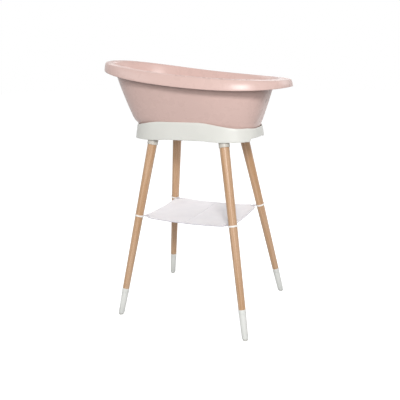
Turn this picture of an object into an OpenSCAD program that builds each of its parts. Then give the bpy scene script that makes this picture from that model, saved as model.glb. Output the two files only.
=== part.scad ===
// Baby bath that stands in a white cradle ring on four splayed beech legs, with a textile shelf.
// Millimetres. +X points to the foot end of the bath, +Z up, the origin is on the floor
// under the middle of the rim.

/* [Tub] */
// Length over the rim
tub_length = 860; // [800:5:920]
// Width over the rim
tub_width = 470; // [450:5:520]
// Height of the rim's sides above the underside of the tub, towards the foot end
rim_height_foot = 226; // [205:1:250]
// How far the rim falls away at the foot end
rim_fall_foot = 5; // [0:1:8]
// How much higher the rim is at the head end
rim_rise = 90.5; // [60:0.5:110]
// How strongly the rise gathers at the head end
rim_rise_power = 1.6; // [1.2:0.1:2]
// Squareness of the rim's outline at the head end, where 2 is an ellipse
rim_squareness = 2.3; // [2:0.1:2.6]
// Squareness of the rim's outline at the foot end
rim_squareness_foot = 2.4; // [2.2:0.1:3]
// Thickness of the moulded wall
tub_wall = 3; // [2:0.5:4]
// How far the turned-down lip flares outwards along the sides
lip_flare = 11; // [6:1:16]
// How far the lip flares outwards at the head and foot ends
lip_flare_ends = 4; // [2:1:12]
// Depth of the lip along the sides
lip_depth = 45.5; // [36:0.5:54]
// Depth of the lip at the head end
lip_depth_head = 34; // [24:1:44]
// Depth of the lip at the foot end
lip_depth_foot = 29; // [22:1:36]
// Radius of the lip's upper outer edge
lip_round = 7; // [4:1:8]
// How far the land falls outwards for each millimetre of its width
land_fall = 0.06; // [0:0.01:0.12]
// Share of the rim's land that its inner edge rounds over
mouth_round_share = 0.36; // [0.25:0.01:0.45]
// Reach of the underside from the middle towards the head end
base_head = 258; // [240:1:266]
// Reach of the underside from the middle towards the foot end
base_foot = 280; // [262:1:286]
// Half width of the underside
base_side = 124; // [112:1:130]
// Reach of the body towards the head end at the reference height
body_head = 372; // [350:1:385]
// Reach of the body towards the foot end at the reference height
body_foot = 367; // [345:1:375]
// Half width of the body at the reference height
body_side = 211; // [196:1:213]
// Height above the underside at which the body is measured
body_reference = 260; // [240:5:300]
// How far the walls bow outwards between the underside and the reference height
wall_bow = 3.6; // [0:0.2:6]
// Squareness of the body where it stands in the ring
body_squareness = 3; // [2.6:0.1:3.4]
// How far the head wall steps in where it enters the ring
seat_step = 9; // [0:1:12]
// Half length of the part that drops into the ring
seat_half_length = 279; // [272:1:282]
// Height over which the wall steps in above the ring's edge
seat_step_height = 8; // [6:1:20]
// Radius between the floor and the wall, inside
floor_round = 26; // [16:1:34]
// Radius between the underside and the wall, outside
base_round = 14; // [8:1:18]
// Distance of the small round recess in the land from the foot end
recess_from_end = 49; // [44:1:54]
// Distance of the recess from the middle line
recess_aside = 66; // [40:1:80]
// Diameter of the recess
recess_d = 24; // [16:1:28]
// Depth of the recess
recess_depth = 1.6; // [0.8:0.1:2]

/* [Drain] */
// Distance of the drain from the middle towards the foot end
drain_x = 150; // [110:1:180]
// Diameter of the hole in the tub's floor
drain_hole_d = 38; // [34:1:44]
// Diameter of the drain seat's flange
drain_flange_d = 56; // [52:1:60]
// Thickness of the drain seat's flange
drain_flange_t = 2.5; // [2:0.5:4]
// Outside diameter of the hose spigot
spigot_d = 24; // [20:0.5:26]
// Bore of the hose spigot
spigot_bore = 18; // [14:0.5:18]
// Length of the hose spigot, which points to the foot end
spigot_length = 22; // [16:1:30]
// Outside diameter of the stub under the drain seat's thread
stub_d = 26; // [24:0.5:28]
// Length of the stub
stub_length = 6.5; // [5:0.5:7]
// Outside diameter of the elbow, which is pressed on the stub
elbow_d = 32; // [31:0.5:35]
// Distance of the spigot's middle line below the drain seat's thread
elbow_drop = 16.5; // [16.5:0.5:18]
// Thickness of the rubber washer under the floor
seal_t = 3; // [2:0.5:4]
// Height of the nut
nut_h = 9; // [6:1:12]
// Width of the nut across its flats
nut_flats = 54; // [50:1:58]
// Diameter of the plug's tapered stopper at its top
plug_d = 30; // [26:0.5:32]
// Length of the plug's stopper
plug_length = 12; // [8:1:16]
// Thickness of the plug's cap
plug_cap_t = 4; // [3:0.5:6]
// How far the plug's cap reaches over the seat
plug_cap_over = 5; // [3:0.5:7]
// Height of the plug's lug
lug_h = 9; // [8:1:12]
// Width of the plug's lug
lug_w = 8; // [6:1:9]
// Thickness of the wire of the pull ring
pull_wire_d = 3; // [2.5:0.1:3.6]
// Radius of the pull ring, to the middle of its wire
pull_ring_r = 9; // [8:0.5:11]

/* [Cradle ring] */
// Height of the seat that carries the tub, above the floor
seat_height = 839.7; // [780:0.1:900]
// How far the stand's middle lies from the rim's middle towards the foot end
stand_shift = 11; // [0:1:20]
// Thickness of the ring's wall
ring_wall = 3; // [2.5:0.5:4]
// Clearance between the ring's upper edge and the tub
ring_gap = 2; // [1:0.5:4]
// Height of the ring's edge above the seat at the middle of the sides
crest_high = 58; // [50:1:62]
// Height of the ring's edge above the seat towards the ends
crest_low = 32; // [28:1:40]
// How far the edge dips at the middle of the foot end
crest_dip = 5; // [0:1:8]
// How far the ring's skirt reaches below the seat at the middle of the sides
skirt_depth = 18.5; // [16:0.5:26]
// How much deeper the skirt is towards the ends
skirt_drop = 5.5; // [0:0.5:8]
// How far the skirt is cut back at the foot end
cut_depth = 12; // [0:1:16]
// Width of the cut at the foot end
cut_width = 168; // [100:4:200]
// How much longer the ring's half length is at the skirt than at its edge, per millimetre
flare_ends = 0.2; // [0.1:0.01:0.25]
// How much wider the ring's half width is at the skirt than at its edge, per millimetre
flare_sides = 0.075; // [0.05:0.005:0.12]
// Squareness of the ring's outline
ring_squareness = 3; // [2.8:0.1:3.4]
// Thickness of the ledge that the tub stands on
ledge_t = 4; // [3:0.5:6]
// Width of the ledge at the ends
ledge_ends = 80; // [60:1:90]
// Width of the ledge at the sides
ledge_sides = 66; // [60:1:72]

/* [Legs] */
// Distance of each socket from the ring's end, along X at the seat
socket_from_end = 125.3; // [115:0.1:135]
// Distance of each socket from the ring's side, along Y at the seat
socket_from_side = 44.2; // [41:0.1:48]
// How far each foot stands out beyond its socket's place at the seat, along X
splay_x = 146.7; // [110:0.1:170]
// How far each foot stands out beyond its socket's place at the seat, along Y
splay_y = 149.4; // [110:0.1:170]
// Depth of the socket's mouth below the seat
socket_depth = 46.7; // [44:0.1:70]
// Height of the joint between the leg and its foot sleeve
foot_joint_z = 128.6; // [80:0.2:180]
// Diameter of the leg at the socket
leg_top_d = 42; // [36:1:43]
// Diameter of the leg at the foot sleeve
leg_low_d = 31; // [28:1:34]
// Outside diameter of the socket
socket_d = 46.4; // [45:0.2:50]
// Width of the collar bead round the socket's mouth
socket_bead_h = 4; // [3:0.5:6]
// Thickness of the socket's two ears
socket_ear_t = 5; // [4:0.5:7]
// Width of the socket's ears
socket_ear_w = 14; // [11:0.5:16]
// Diameter of the tenon at the top of the leg
top_tenon_d = 38; // [30:0.5:38]
// Length of the tenon at the top of the leg
top_tenon_l = 26; // [20:1:28]
// Diameter of the tenon at the foot of the leg
low_tenon_d = 23; // [16:0.5:24]
// Length of the tenon at the foot of the leg
low_tenon_l = 42; // [25:1:50]
// Radial clearance of a tenon or bolt in its hole
joint_clearance = 0.05; // [0.02:0.01:0.1]
// Diameter of the bolt that holds the leg
bolt_d = 8; // [6:1:10]
// Depth of the bolt in the leg
bolt_in_leg = 34; // [20:1:40]
// Depth of the bolt in the socket
bolt_in_socket = 11; // [8:1:12]
// Diameter of the screws that hold a socket to the ring
screw_d = 4; // [3:0.5:5]
// Diameter of the screws' heads
screw_head_d = 8; // [7:0.5:9]
// Height of the screws' heads
screw_head_h = 2.6; // [2:0.2:3.2]
// Distance between the socket and the screws' heads
screw_clear = 3.3; // [3:0.1:5]

/* [Feet] */
// Diameter of the foot sleeve at the joint
sleeve_top_d = 32; // [31.5:0.5:36]
// Diameter of the foot sleeve at the floor
sleeve_low_d = 27; // [26:0.5:31]
// Distance of the sleeve's collar below the joint
collar_drop = 20; // [10:1:30]
// Height of the sleeve's collar
collar_h = 3; // [2:0.5:5]
// How far the sleeve's collar stands out
collar_out = 0.8; // [0.4:0.1:1.5]
// Length of the sleeve's rounded end
sleeve_round = 3; // [2:0.5:5]
// Height of the sleeve's lower end above the floor, along the leg
sleeve_lift = 8; // [7:0.5:12]
// Diameter of the glide under the foot
pad_d = 23; // [18:0.5:23]

/* [Shelf] */
// Height of the shelf's bands above the floor
shelf_z = 472.6; // [380:0.2:560]
// Height of a band
band_h = 8; // [6:0.5:12]
// Thickness of a band
band_t = 2; // [1.5:0.1:3]
// Radial clearance of a band on its leg
band_clearance = 0.2; // [0.1:0.05:0.4]
// Distance of the cloth's edge from the legs' middles along X
cloth_in_x = 11.4; // [8:0.2:24]
// Distance of the cloth's edge from the legs' middles along Y
cloth_in_y = 0; // [0:1:16]
// Length of the cut across each of the cloth's corners, along each edge
corner_cut = 36; // [32:1:48]
// Thickness of the cloth with its hem
cloth_t = 2.4; // [1.6:0.2:4]
// How far the cloth's edges sag
edge_sag = 11; // [4:1:18]
// How much further the middle of the cloth sags
middle_sag = 5; // [0:1:12]
// Width of a strap at the cloth
strap_wide = 34; // [24:1:44]
// Width of a strap at the band
strap_narrow = 8; // [6:1:12]
// Thickness of a strap
strap_t = 2.4; // [1.6:0.2:4]

/* [Hidden] */
CORNERS = ["front_left", "front_right", "back_left", "back_right"];

$fn = 48;
PINK = "#d8bfb9";
WHITE = "#e6e7e2";
BEECH = "#d8b48c";
CLOTH = "#e4e3e6";
RUBBER = "#8a8a8a";
STEEL = "silver";

// Points round every moulded outline
around = 72;
// Gap between the standing tub and the ledge
stand_gap = 0.3;
// Height of the tub's underside
base_z = seat_height + stand_gap;
// Clearance of the plug in its seat and of the ring on its pivot
plug_clearance = 0.3;
pivot_clearance = 0.08;
// Slope of the seat part's ends, so that it drops into the ring easily
seat_draft = 0.3;
// Places along X where the ring's edge starts and ends its fall, from the stand's middle
fall_foot = [60, 255];
fall_head = [110, 330];
// Length over which the edge dips at the foot end
dip_length = 20;
// Places along X, both ways from the stand's middle, where the skirt starts and ends its fall
skirt_fall = [70, 165];
// How closely the cloth's sag gathers at its corners
sag_power = 2.6;
// How far a cutting tool runs past the face that it opens, and an overlap between joined shapes
over = 1;
tiny = 0.01;
// Free space past the end of a tenon
end_gap = 0.5;

// Plain helpers
function signed_power(v, p) = sign(v) * pow(abs(v), p);
function clamp01(t) = max(0, min(1, t));
function smooth(t) = clamp01(t) * clamp01(t) * (3 - 2 * clamp01(t));
function mix(a, b, t) = a + (b - a) * t;
// Superellipse at an angle: middle along X, half length, half width, squareness
function oval(angle, middle, a, b, n) =
    [middle + a * signed_power(cos(angle), 2 / n), b * signed_power(sin(angle), 2 / n)];
function angles() = [for (i = [0 : around - 1]) i * 360 / around];
function lift(p, z) = [p.x, p.y, z];

// Faces between one ring of points and the next, for a skin whose rings run anticlockwise
function band_faces(low, high, count) = [
    for (i = [0 : count - 1]) let (j = (i + 1) % count)
    each [[low + i, high + i, high + j], [low + i, high + j, low + j]]];

// A skin over rings of points, closed at both ends by one point
module capped_skin(first, rings, last) {
    count = len(rings[0]);
    end = len(rings) - 1;
    polyhedron(
        points = concat([first], [for (r = rings) each r], [last]),
        faces = concat(
            [for (i = [0 : count - 1]) [0, 1 + i, 1 + (i + 1) % count]],
            [for (k = [0 : end - 1]) each band_faces(1 + k * count, 1 + (k + 1) * count, count)],
            [for (i = [0 : count - 1])
                [1 + len(rings) * count, 1 + end * count + (i + 1) % count, 1 + end * count + i]]));
}

// A skin over rings of points that closes on itself, such as a hollow ring
module looped_skin(rings) {
    count = len(rings[0]);
    polyhedron(
        points = [for (r = rings) each r],
        faces = [for (k = [0 : len(rings) - 1])
            each band_faces(k * count, ((k + 1) % len(rings)) * count, count)]);
}

// The tub's outline. Heights h are measured from its underside.
rim_a = tub_length / 2;
rim_b = tub_width / 2;
function bow(h) = 4 * wall_bow * (h / body_reference) * (1 - h / body_reference);
function body_squareness_at(h) =
    mix(body_squareness, rim_squareness, clamp01(h / body_reference));
function head_at(h) = mix(base_head + seat_step, body_head, h / body_reference) + bow(h);
function foot_at(h) = mix(base_foot, body_foot, h / body_reference) + bow(h);
function side_at(h) = mix(base_side, body_side, h / body_reference) + bow(h);

// Height of the rim's land, of the lip's depth and of the ring's edge at an angle
function rim_n(angle) = cos(angle) > 0 ? rim_squareness_foot : rim_squareness;
function rim_x(angle) = (rim_a - lip_flare_ends) * signed_power(cos(angle), 2 / rim_n(angle));
function rim_h(angle) =
    rim_height_foot + rim_rise * pow((rim_a - rim_x(angle)) / (2 * rim_a), rim_rise_power)
        - (cos(angle) > 0 ? rim_fall_foot * end_share(angle) : 0);
function end_share(angle) = pow(abs(cos(angle)), 3);
function lip_h(angle) =
    mix(lip_depth, cos(angle) > 0 ? lip_depth_foot : lip_depth_head, end_share(angle));
function flare_at(angle) = mix(lip_flare, lip_flare_ends, end_share(angle));

// Half lengths of the ring at a height above the seat
crest_end = crest_low + 1;
function ring_a(h) = seat_half_length + ring_gap + ring_wall + flare_ends * (crest_end - h);
function ring_b(h) =
    side_at(crest_high) + ring_gap + ring_wall + flare_sides * (crest_high - h);
function edge_rise(x) = x > 0
    ? 1 - smooth((x - fall_foot[0]) / (fall_foot[1] - fall_foot[0]))
    : 1 - smooth((-x - fall_head[0]) / (fall_head[1] - fall_head[0]));
function edge_h(angle) =
    let (x = ring_a(crest_low) * signed_power(cos(angle), 2 / ring_squareness))
    crest_low + (crest_high - crest_low) * edge_rise(x)
        - crest_dip * smooth((x - ring_a(crest_low) + dip_length) / dip_length);
function skirt_h(angle) =
    let (p = oval(angle, 0, ring_a(0), ring_b(0), ring_squareness))
    -skirt_depth - skirt_drop * smooth((abs(p.x) - skirt_fall[0]) / (skirt_fall[1] - skirt_fall[0]))
        + (p.x > 0 && abs(p.y) < cut_width / 2 ? cut_depth : 0);

// A point on the outside of the tub's wall, drawn in by inset, at a height
function body_point(angle, h, inset) =
    let (head = head_at(h), foot = foot_at(h))
    oval(angle, (foot - head) / 2, (foot + head) / 2 - inset, side_at(h) - inset,
        body_squareness_at(h));
// The same for the part that drops into the ring
function seat_a(h) = seat_half_length
    - seat_draft * max(0, crest_end - h) - flare_ends * max(0, h - crest_end);
function seat_point(angle, h, inset) =
    oval(angle, stand_shift, seat_a(h) - inset,
        side_at(h) - inset, body_squareness_at(h));
function wall_point(angle, h, inset) =
    let (t = smooth((h - edge_h(angle) - 1) / seat_step_height))
    lift(mix(seat_point(angle, h, inset), body_point(angle, h, inset), t), base_z + h);

// The rim's land runs from the mouth outwards to the lip
function lip_point(angle, inset) =
    oval(angle, 0, rim_a - flare_at(angle) - inset, rim_b - flare_at(angle) - inset,
        rim_n(angle));
function lip_low_point(angle, inset) =
    oval(angle, 0, rim_a - inset, rim_b - inset, rim_n(angle));
function land_width(angle) =
    norm(lip_point(angle, lip_round) - body_point(angle, rim_h(angle), tub_wall));
function mouth_r(angle) = tub_wall + 1 + mouth_round_share * (land_width(angle) - tub_wall);
function mouth_h(angle) = rim_h(angle) + land_fall * land_width(angle);
// A point drawn outwards from the mouth by a distance
function land_point(angle, out) =
    let (m = body_point(angle, rim_h(angle), tub_wall), l = lip_point(angle, lip_round))
    m + (l - m) * out / norm(l - m);

// Stations of the tub's profile, as functions of the angle. The first three follow the step
// above the ring's edge, and the others share the wall between there and the mouth.
tub_wall_steps = 7;
inner_wall_steps = 6;
round_steps = [0, 45, 90];
function wall_h(angle, k, steps, low) =
    k < 4 ? max(low + k / 2, edge_h(angle) + [0, 0, 1 + seat_step_height / 2, 1 + seat_step_height][k])
    : mix(edge_h(angle) + 1 + seat_step_height, mouth_h(angle) - mouth_r(angle),
        (k - 3) / (steps - 3));
function tub_rings() = concat(
    [for (q = round_steps) [for (a = angles())
        wall_point(a, base_round * (1 - cos(q)), base_round * (1 - sin(q)))]],
    [for (k = [1 : tub_wall_steps]) [for (a = angles())
        wall_point(a, wall_h(a, k, tub_wall_steps, base_round), 0)]],
    [for (q = [45, 90]) [for (a = angles())
        let (r = mouth_r(a) - tub_wall)
        lift(land_point(a, tub_wall + r * (1 - cos(q))),
            base_z + mouth_h(a) - tub_wall - r * (1 - sin(q)))]],
    [[for (a = angles()) lift(lip_point(a, tub_wall), base_z + rim_h(a) - tub_wall)],
     [for (a = angles()) lift(lip_low_point(a, tub_wall), base_z + rim_h(a) - lip_h(a))],
     [for (a = angles()) lift(lip_low_point(a, 0), base_z + rim_h(a) - lip_h(a))]],
    [for (q = round_steps) [for (a = angles())
        lift(lip_point(a, lip_round * (1 - cos(q))), base_z + rim_h(a) - lip_round * (1 - sin(q)))]],
    [for (q = [90, 45]) [for (a = angles())
        lift(land_point(a, mouth_r(a) * (1 - cos(q))),
            base_z + mouth_h(a) - mouth_r(a) * (1 - sin(q)))]],
    [for (k = [inner_wall_steps : -1 : 1]) [for (a = angles())
        wall_point(a, wall_h(a, k, inner_wall_steps, tub_wall + floor_round), tub_wall)]],
    [for (q = [90, 45, 0]) [for (a = angles())
        wall_point(a, tub_wall + floor_round * (1 - cos(q)),
            tub_wall + floor_round * (1 - sin(q)))]]);

// The land and its rounded inner edge, raised by up
function land_rings(up) = [
    [for (a = angles()) lift(lip_point(a, lip_round), base_z + rim_h(a) + up)],
    [for (a = angles()) lift(land_point(a, mouth_r(a)), base_z + mouth_h(a) + up)],
    [for (a = angles()) lift(land_point(a, mouth_r(a) * (1 - cos(45))),
        base_z + mouth_h(a) - mouth_r(a) * (1 - sin(45)) + up)]];

module tub_shell() {
    floor_h = base_z + tub_wall;
    recess_floor = land_rings(-recess_depth);
    above = land_rings(lip_round);
    color(PINK) difference() {
        capped_skin([stand_shift, 0, base_z], tub_rings(), [stand_shift, 0, floor_h]);
        translate([drain_x, 0, base_z - over]) cylinder(d = drain_hole_d, h = tub_wall + 2 * over);
        intersection() {
            looped_skin([recess_floor[0], above[0], above[1], above[2], recess_floor[2], recess_floor[1]]);
            translate([rim_a - recess_from_end, recess_aside, base_z])
                cylinder(d = recess_d, h = 2 * rim_height_foot);
        }
    }
}

// Drain, from the tub's floor downwards
floor_top = base_z + tub_wall;
tail_d = drain_hole_d - 2 * joint_clearance;
tail_below_nut = 2;
tail_low = base_z - seal_t - nut_h - tail_below_nut;
elbow_z = tail_low - elbow_drop;
stub_bore = spigot_bore + 2;
// Radii and reach of the elbow's lower end and of the collar that stops the hose
elbow_base = 14;
collar_r = spigot_d / 2 + 1.5;
collar_reach = elbow_d / 2 + 1;
seat_bore = plug_d + 2 * plug_clearance;
// How much narrower the plug and its seat are at their lower end
plug_taper = 3;
// How far the nut reaches past the washer
seal_margin = 2;

module drain_seat() {
    color(WHITE) translate([drain_x, 0, 0]) difference() {
        union() {
            translate([0, 0, floor_top]) cylinder(d = drain_flange_d, h = drain_flange_t);
            translate([0, 0, tail_low]) cylinder(d = tail_d, h = floor_top + tiny - tail_low);
            translate([0, 0, tail_low - stub_length]) cylinder(d = stub_d, h = stub_length + tiny);
        }
        translate([0, 0, tail_low - stub_length - over])
            cylinder(d = stub_bore, h = stub_length + floor_top - tail_low + over);
        translate([0, 0, floor_top + drain_flange_t - plug_length - over])
            cylinder(d1 = seat_bore - plug_taper, d2 = seat_bore, h = plug_length + over);
        translate([0, 0, floor_top + drain_flange_t - tiny]) cylinder(d = seat_bore, h = over);
    }
}

// Elbow: its socket grips the seat's stub, and its spigot takes the hose
module drain_elbow() {
    color(WHITE) translate([drain_x, 0, elbow_z]) difference() {
        union() {
            translate([0, 0, -elbow_base]) cylinder(d = elbow_d, h = elbow_base + elbow_drop - end_gap);
            rotate([0, 90, 0]) cylinder(r = collar_r, h = collar_reach);
            rotate([0, 90, 0]) cylinder(d = spigot_d, h = collar_reach + spigot_length);
        }
        translate([0, 0, -stub_bore / 2]) cylinder(d = stub_bore, h = stub_bore / 2 + elbow_drop);
        translate([0, 0, elbow_drop - stub_length - end_gap])
            cylinder(d = stub_d + 2 * joint_clearance, h = stub_length + end_gap);
        rotate([0, 90, 0]) cylinder(d = spigot_bore, h = collar_reach + spigot_length + over);
    }
}

module drain_seal() {
    color(RUBBER) translate([drain_x, 0, base_z - seal_t]) difference() {
        cylinder(d = nut_flats - 2 * seal_margin, h = seal_t);
        translate([0, 0, -over]) cylinder(d = drain_hole_d, h = seal_t + 2 * over);
    }
}

module drain_nut() {
    color(WHITE) translate([drain_x, 0, base_z - seal_t - nut_h]) difference() {
        cylinder(d = nut_flats / cos(30), h = nut_h, $fn = 6);
        translate([0, 0, -over]) cylinder(d = drain_hole_d, h = nut_h + 2 * over);
    }
}

plug_top = floor_top + drain_flange_t + plug_clearance;
lug_z = plug_top + plug_cap_t + lug_h / 2;
module drain_plug() {
    color(RUBBER) translate([drain_x, 0, 0]) difference() {
        union() {
            translate([0, 0, plug_top - plug_length + over])
                cylinder(d1 = plug_d - plug_taper, d2 = plug_d, h = plug_length - over);
            translate([0, 0, plug_top]) cylinder(d = plug_d + 2 * plug_cap_over, h = plug_cap_t);
            translate([-lug_h / 2, -lug_w / 2, plug_top + plug_cap_t - tiny])
                cube([lug_h, lug_w, lug_h / 2 + tiny]);
            translate([0, lug_w / 2, lug_z]) rotate([90, 0, 0]) cylinder(d = lug_h, h = lug_w);
        }
        translate([0, lug_w, lug_z]) rotate([90, 0, 0])
            cylinder(d = pull_wire_d + 2 * pivot_clearance, h = 2 * lug_w);
    }
}

// A D-shaped wire ring: its straight side is the pivot, and it lies towards the head end
module plug_pull_ring() {
    reach = lug_h / 2 + pull_wire_d;
    color(WHITE) translate([drain_x, 0, lug_z]) {
        rotate([90, 0, 0]) translate([0, 0, -pull_ring_r])
            cylinder(d = pull_wire_d, h = 2 * pull_ring_r);
        for (s = [-1, 1]) {
            translate([0, s * pull_ring_r, 0]) sphere(d = pull_wire_d);
            translate([0, s * pull_ring_r, 0]) rotate([0, -90, 0])
                cylinder(d = pull_wire_d, h = reach);
        }
        translate([-reach, 0, 0]) rotate([0, 0, 90])
            rotate_extrude(angle = 180) translate([pull_ring_r, 0]) circle(d = pull_wire_d, $fn = 24);
    }
}

// The cradle ring, in the stand's own middle
function ring_point(angle, h, inset) =
    lift(oval(angle, stand_shift, ring_a(h) - inset, ring_b(h) - inset, ring_squareness),
        seat_height + h);
function ledge_point(angle, h) =
    lift(oval(angle, stand_shift, ring_a(0) - ledge_ends, ring_b(0) - ledge_sides, ring_squareness),
        seat_height + h);
edge_round = ring_wall / 2;
function ring_rings() = [
    [for (a = angles()) ring_point(a, skirt_h(a), 0)],
    [for (a = angles()) ring_point(a, mix(skirt_h(a), edge_h(a), 0.5), 0)],
    [for (a = angles()) ring_point(a, edge_h(a) - edge_round, 0)],
    [for (a = angles()) ring_point(a, edge_h(a), edge_round / 2)],
    [for (a = angles()) ring_point(a, edge_h(a), ring_wall - edge_round / 2)],
    [for (a = angles()) ring_point(a, edge_h(a) - edge_round, ring_wall)],
    [for (a = angles()) ring_point(a, 0, ring_wall)],
    [for (a = angles()) ledge_point(a, 0)],
    [for (a = angles()) ledge_point(a, -ledge_t)],
    [for (a = angles()) ring_point(a, -ledge_t, ring_wall)],
    [for (a = angles()) ring_point(a, skirt_h(a), ring_wall)]];

module cradle_ring() {
    color(WHITE) difference() {
        looped_skin(ring_rings());
        each_corner() screw_places() translate([0, 0, -ledge_t - over])
            cylinder(d = screw_d + 2 * joint_clearance, h = ledge_t + 2 * over);
    }
}

// Places of the legs. s is +1 or -1 along X and Y.
socket_x = ring_a(0) - socket_from_end;
socket_y = ring_b(0) - socket_from_side;
foot_x = socket_x + splay_x;
foot_y = socket_y + splay_y;
leg_tilt = atan(norm([splay_x, splay_y]) / seat_height);
leg_turn = atan2(splay_y, splay_x);
function leg_s(z) = z / cos(leg_tilt);
function leg_xy(z) = [foot_x - splay_x * z / seat_height, foot_y - splay_y * z / seat_height];
function sides(corner) =
    [corner == "front_left" || corner == "back_left" ? -1 : 1,
     corner == "front_left" || corner == "front_right" ? -1 : 1];

// Children are drawn for the back right corner, from the stand's middle, and mirrored to a corner
module at_corner(corner) {
    s = sides(corner);
    translate([stand_shift, 0, 0])
        mirror([s.x < 0 ? 1 : 0, 0, 0]) mirror([0, s.y < 0 ? 1 : 0, 0]) children();
}

// Children drawn along +Z from the floor lie along the leg
module along_leg() {
    translate([foot_x, foot_y, 0]) rotate([0, 0, leg_turn]) rotate([0, -leg_tilt, 0]) children();
}

module each_corner() {
    for (c = CORNERS) at_corner(c) children();
}

// Two screws at each socket, in the ledge's plane
module screw_places() {
    for (s = [-1, 1]) translate([socket_x + s * screw_r, socket_y, seat_height]) children();
}

screw_r = socket_d / 2 + screw_head_d / 2 + screw_clear;
mouth_s = leg_s(seat_height - socket_depth);
joint_s = leg_s(foot_joint_z);
ledge_low_z = seat_height - ledge_t;
// How far the bead stands out round the socket's mouth, and a screw stays short of the ledge's top
bead_out = 0.6;
screw_short = 0.4;

module leg_socket(corner) {
    room = 2 * socket_d;
    color(WHITE) at_corner(corner) difference() {
        union() {
            intersection() {
                along_leg() translate([0, 0, mouth_s]) {
                    cylinder(d = socket_d, h = leg_s(seat_height) - mouth_s);
                    cylinder(d = socket_d + 2 * bead_out, h = socket_bead_h);
                }
                translate([socket_x - room, socket_y - room, 0]) cube([2 * room, 2 * room, ledge_low_z]);
            }
            translate([socket_x - screw_r, socket_y - socket_ear_w / 2, ledge_low_z - socket_ear_t])
                cube([2 * screw_r, socket_ear_w, socket_ear_t]);
            screw_places() translate([0, 0, -ledge_t - socket_ear_t])
                cylinder(d = socket_ear_w, h = socket_ear_t);
        }
        along_leg() translate([0, 0, mouth_s - over])
            cylinder(d = top_tenon_d + 2 * joint_clearance, h = top_tenon_l + over + end_gap);
        along_leg() translate([0, 0, mouth_s])
            cylinder(d = bolt_d + 2 * joint_clearance, h = top_tenon_l + bolt_in_socket + 2 * end_gap);
        screw_places() translate([0, 0, -ledge_t - socket_ear_t - over])
            cylinder(d = screw_d + 2 * joint_clearance, h = socket_ear_t + 2 * over);
    }
}

module leg(corner) {
    color(BEECH) at_corner(corner) along_leg() difference() {
        union() {
            translate([0, 0, joint_s]) cylinder(d1 = leg_low_d, d2 = leg_top_d, h = mouth_s - joint_s);
            translate([0, 0, mouth_s - tiny]) cylinder(d = top_tenon_d, h = top_tenon_l + tiny);
            translate([0, 0, joint_s - low_tenon_l]) cylinder(d = low_tenon_d, h = low_tenon_l + tiny);
        }
        translate([0, 0, mouth_s + top_tenon_l - bolt_in_leg - end_gap])
            cylinder(d = bolt_d + 2 * joint_clearance, h = bolt_in_leg + end_gap + over);
    }
}

module leg_bolts() {
    color(STEEL) each_corner() along_leg()
        translate([0, 0, mouth_s + top_tenon_l - bolt_in_leg])
            cylinder(d = bolt_d, h = bolt_in_leg + bolt_in_socket);
}

module socket_screws() {
    color(STEEL) each_corner() screw_places() {
        translate([0, 0, -ledge_t - socket_ear_t - screw_head_h])
            cylinder(d = screw_head_d, h = screw_head_h);
        translate([0, 0, -ledge_t - socket_ear_t - tiny])
            cylinder(d = screw_d, h = ledge_t + socket_ear_t + tiny - screw_short);
    }
}

// Foot sleeve: a tapered white cap over the leg's lower tenon
function sleeve_d_at(s) = mix(sleeve_low_d, sleeve_top_d, s / joint_s);
module foot_sleeve(corner) {
    low = sleeve_lift + sleeve_round;
    color(WHITE) at_corner(corner) along_leg() difference() {
        union() {
            translate([0, 0, low])
                cylinder(d1 = sleeve_d_at(low), d2 = sleeve_top_d, h = joint_s - low);
            translate([0, 0, sleeve_lift])
                cylinder(d1 = sleeve_d_at(low) - 2 * sleeve_round, d2 = sleeve_d_at(low),
                    h = sleeve_round + tiny);
            translate([0, 0, joint_s - collar_drop])
                cylinder(d = sleeve_d_at(joint_s - collar_drop) + 2 * collar_out, h = collar_h);
        }
        translate([0, 0, joint_s - low_tenon_l - end_gap])
            cylinder(d = low_tenon_d + 2 * joint_clearance, h = low_tenon_l + end_gap + over);
    }
}

module foot_pad(corner) {
    color(RUBBER) at_corner(corner) intersection() {
        along_leg() translate([0, 0, -pad_d / 2]) cylinder(d = pad_d, h = sleeve_lift + pad_d / 2);
        translate([foot_x - pad_d, foot_y - pad_d, 0]) cube([2 * pad_d, 2 * pad_d, sleeve_lift + pad_d]);
    }
}

// Shelf: a band round each leg, a strap from each band and the cloth between them
band_s = leg_s(shelf_z);
function leg_d_at(s) = mix(leg_low_d, leg_top_d, (s - joint_s) / (mouth_s - joint_s));
band_bore = leg_d_at(band_s + band_h / 2) + 2 * band_clearance;
band_d = band_bore + 2 * band_t;
shelf_xy = leg_xy(shelf_z);
cloth_a = shelf_xy.x - cloth_in_x;
cloth_b = shelf_xy.y - cloth_in_y;

module shelf_band(corner) {
    color(WHITE) at_corner(corner) along_leg() translate([0, 0, band_s - band_h / 2])
        difference() {
            cylinder(d = band_d, h = band_h);
            translate([0, 0, -over]) cylinder(d = band_bore, h = band_h + 2 * over);
        }
}

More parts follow.
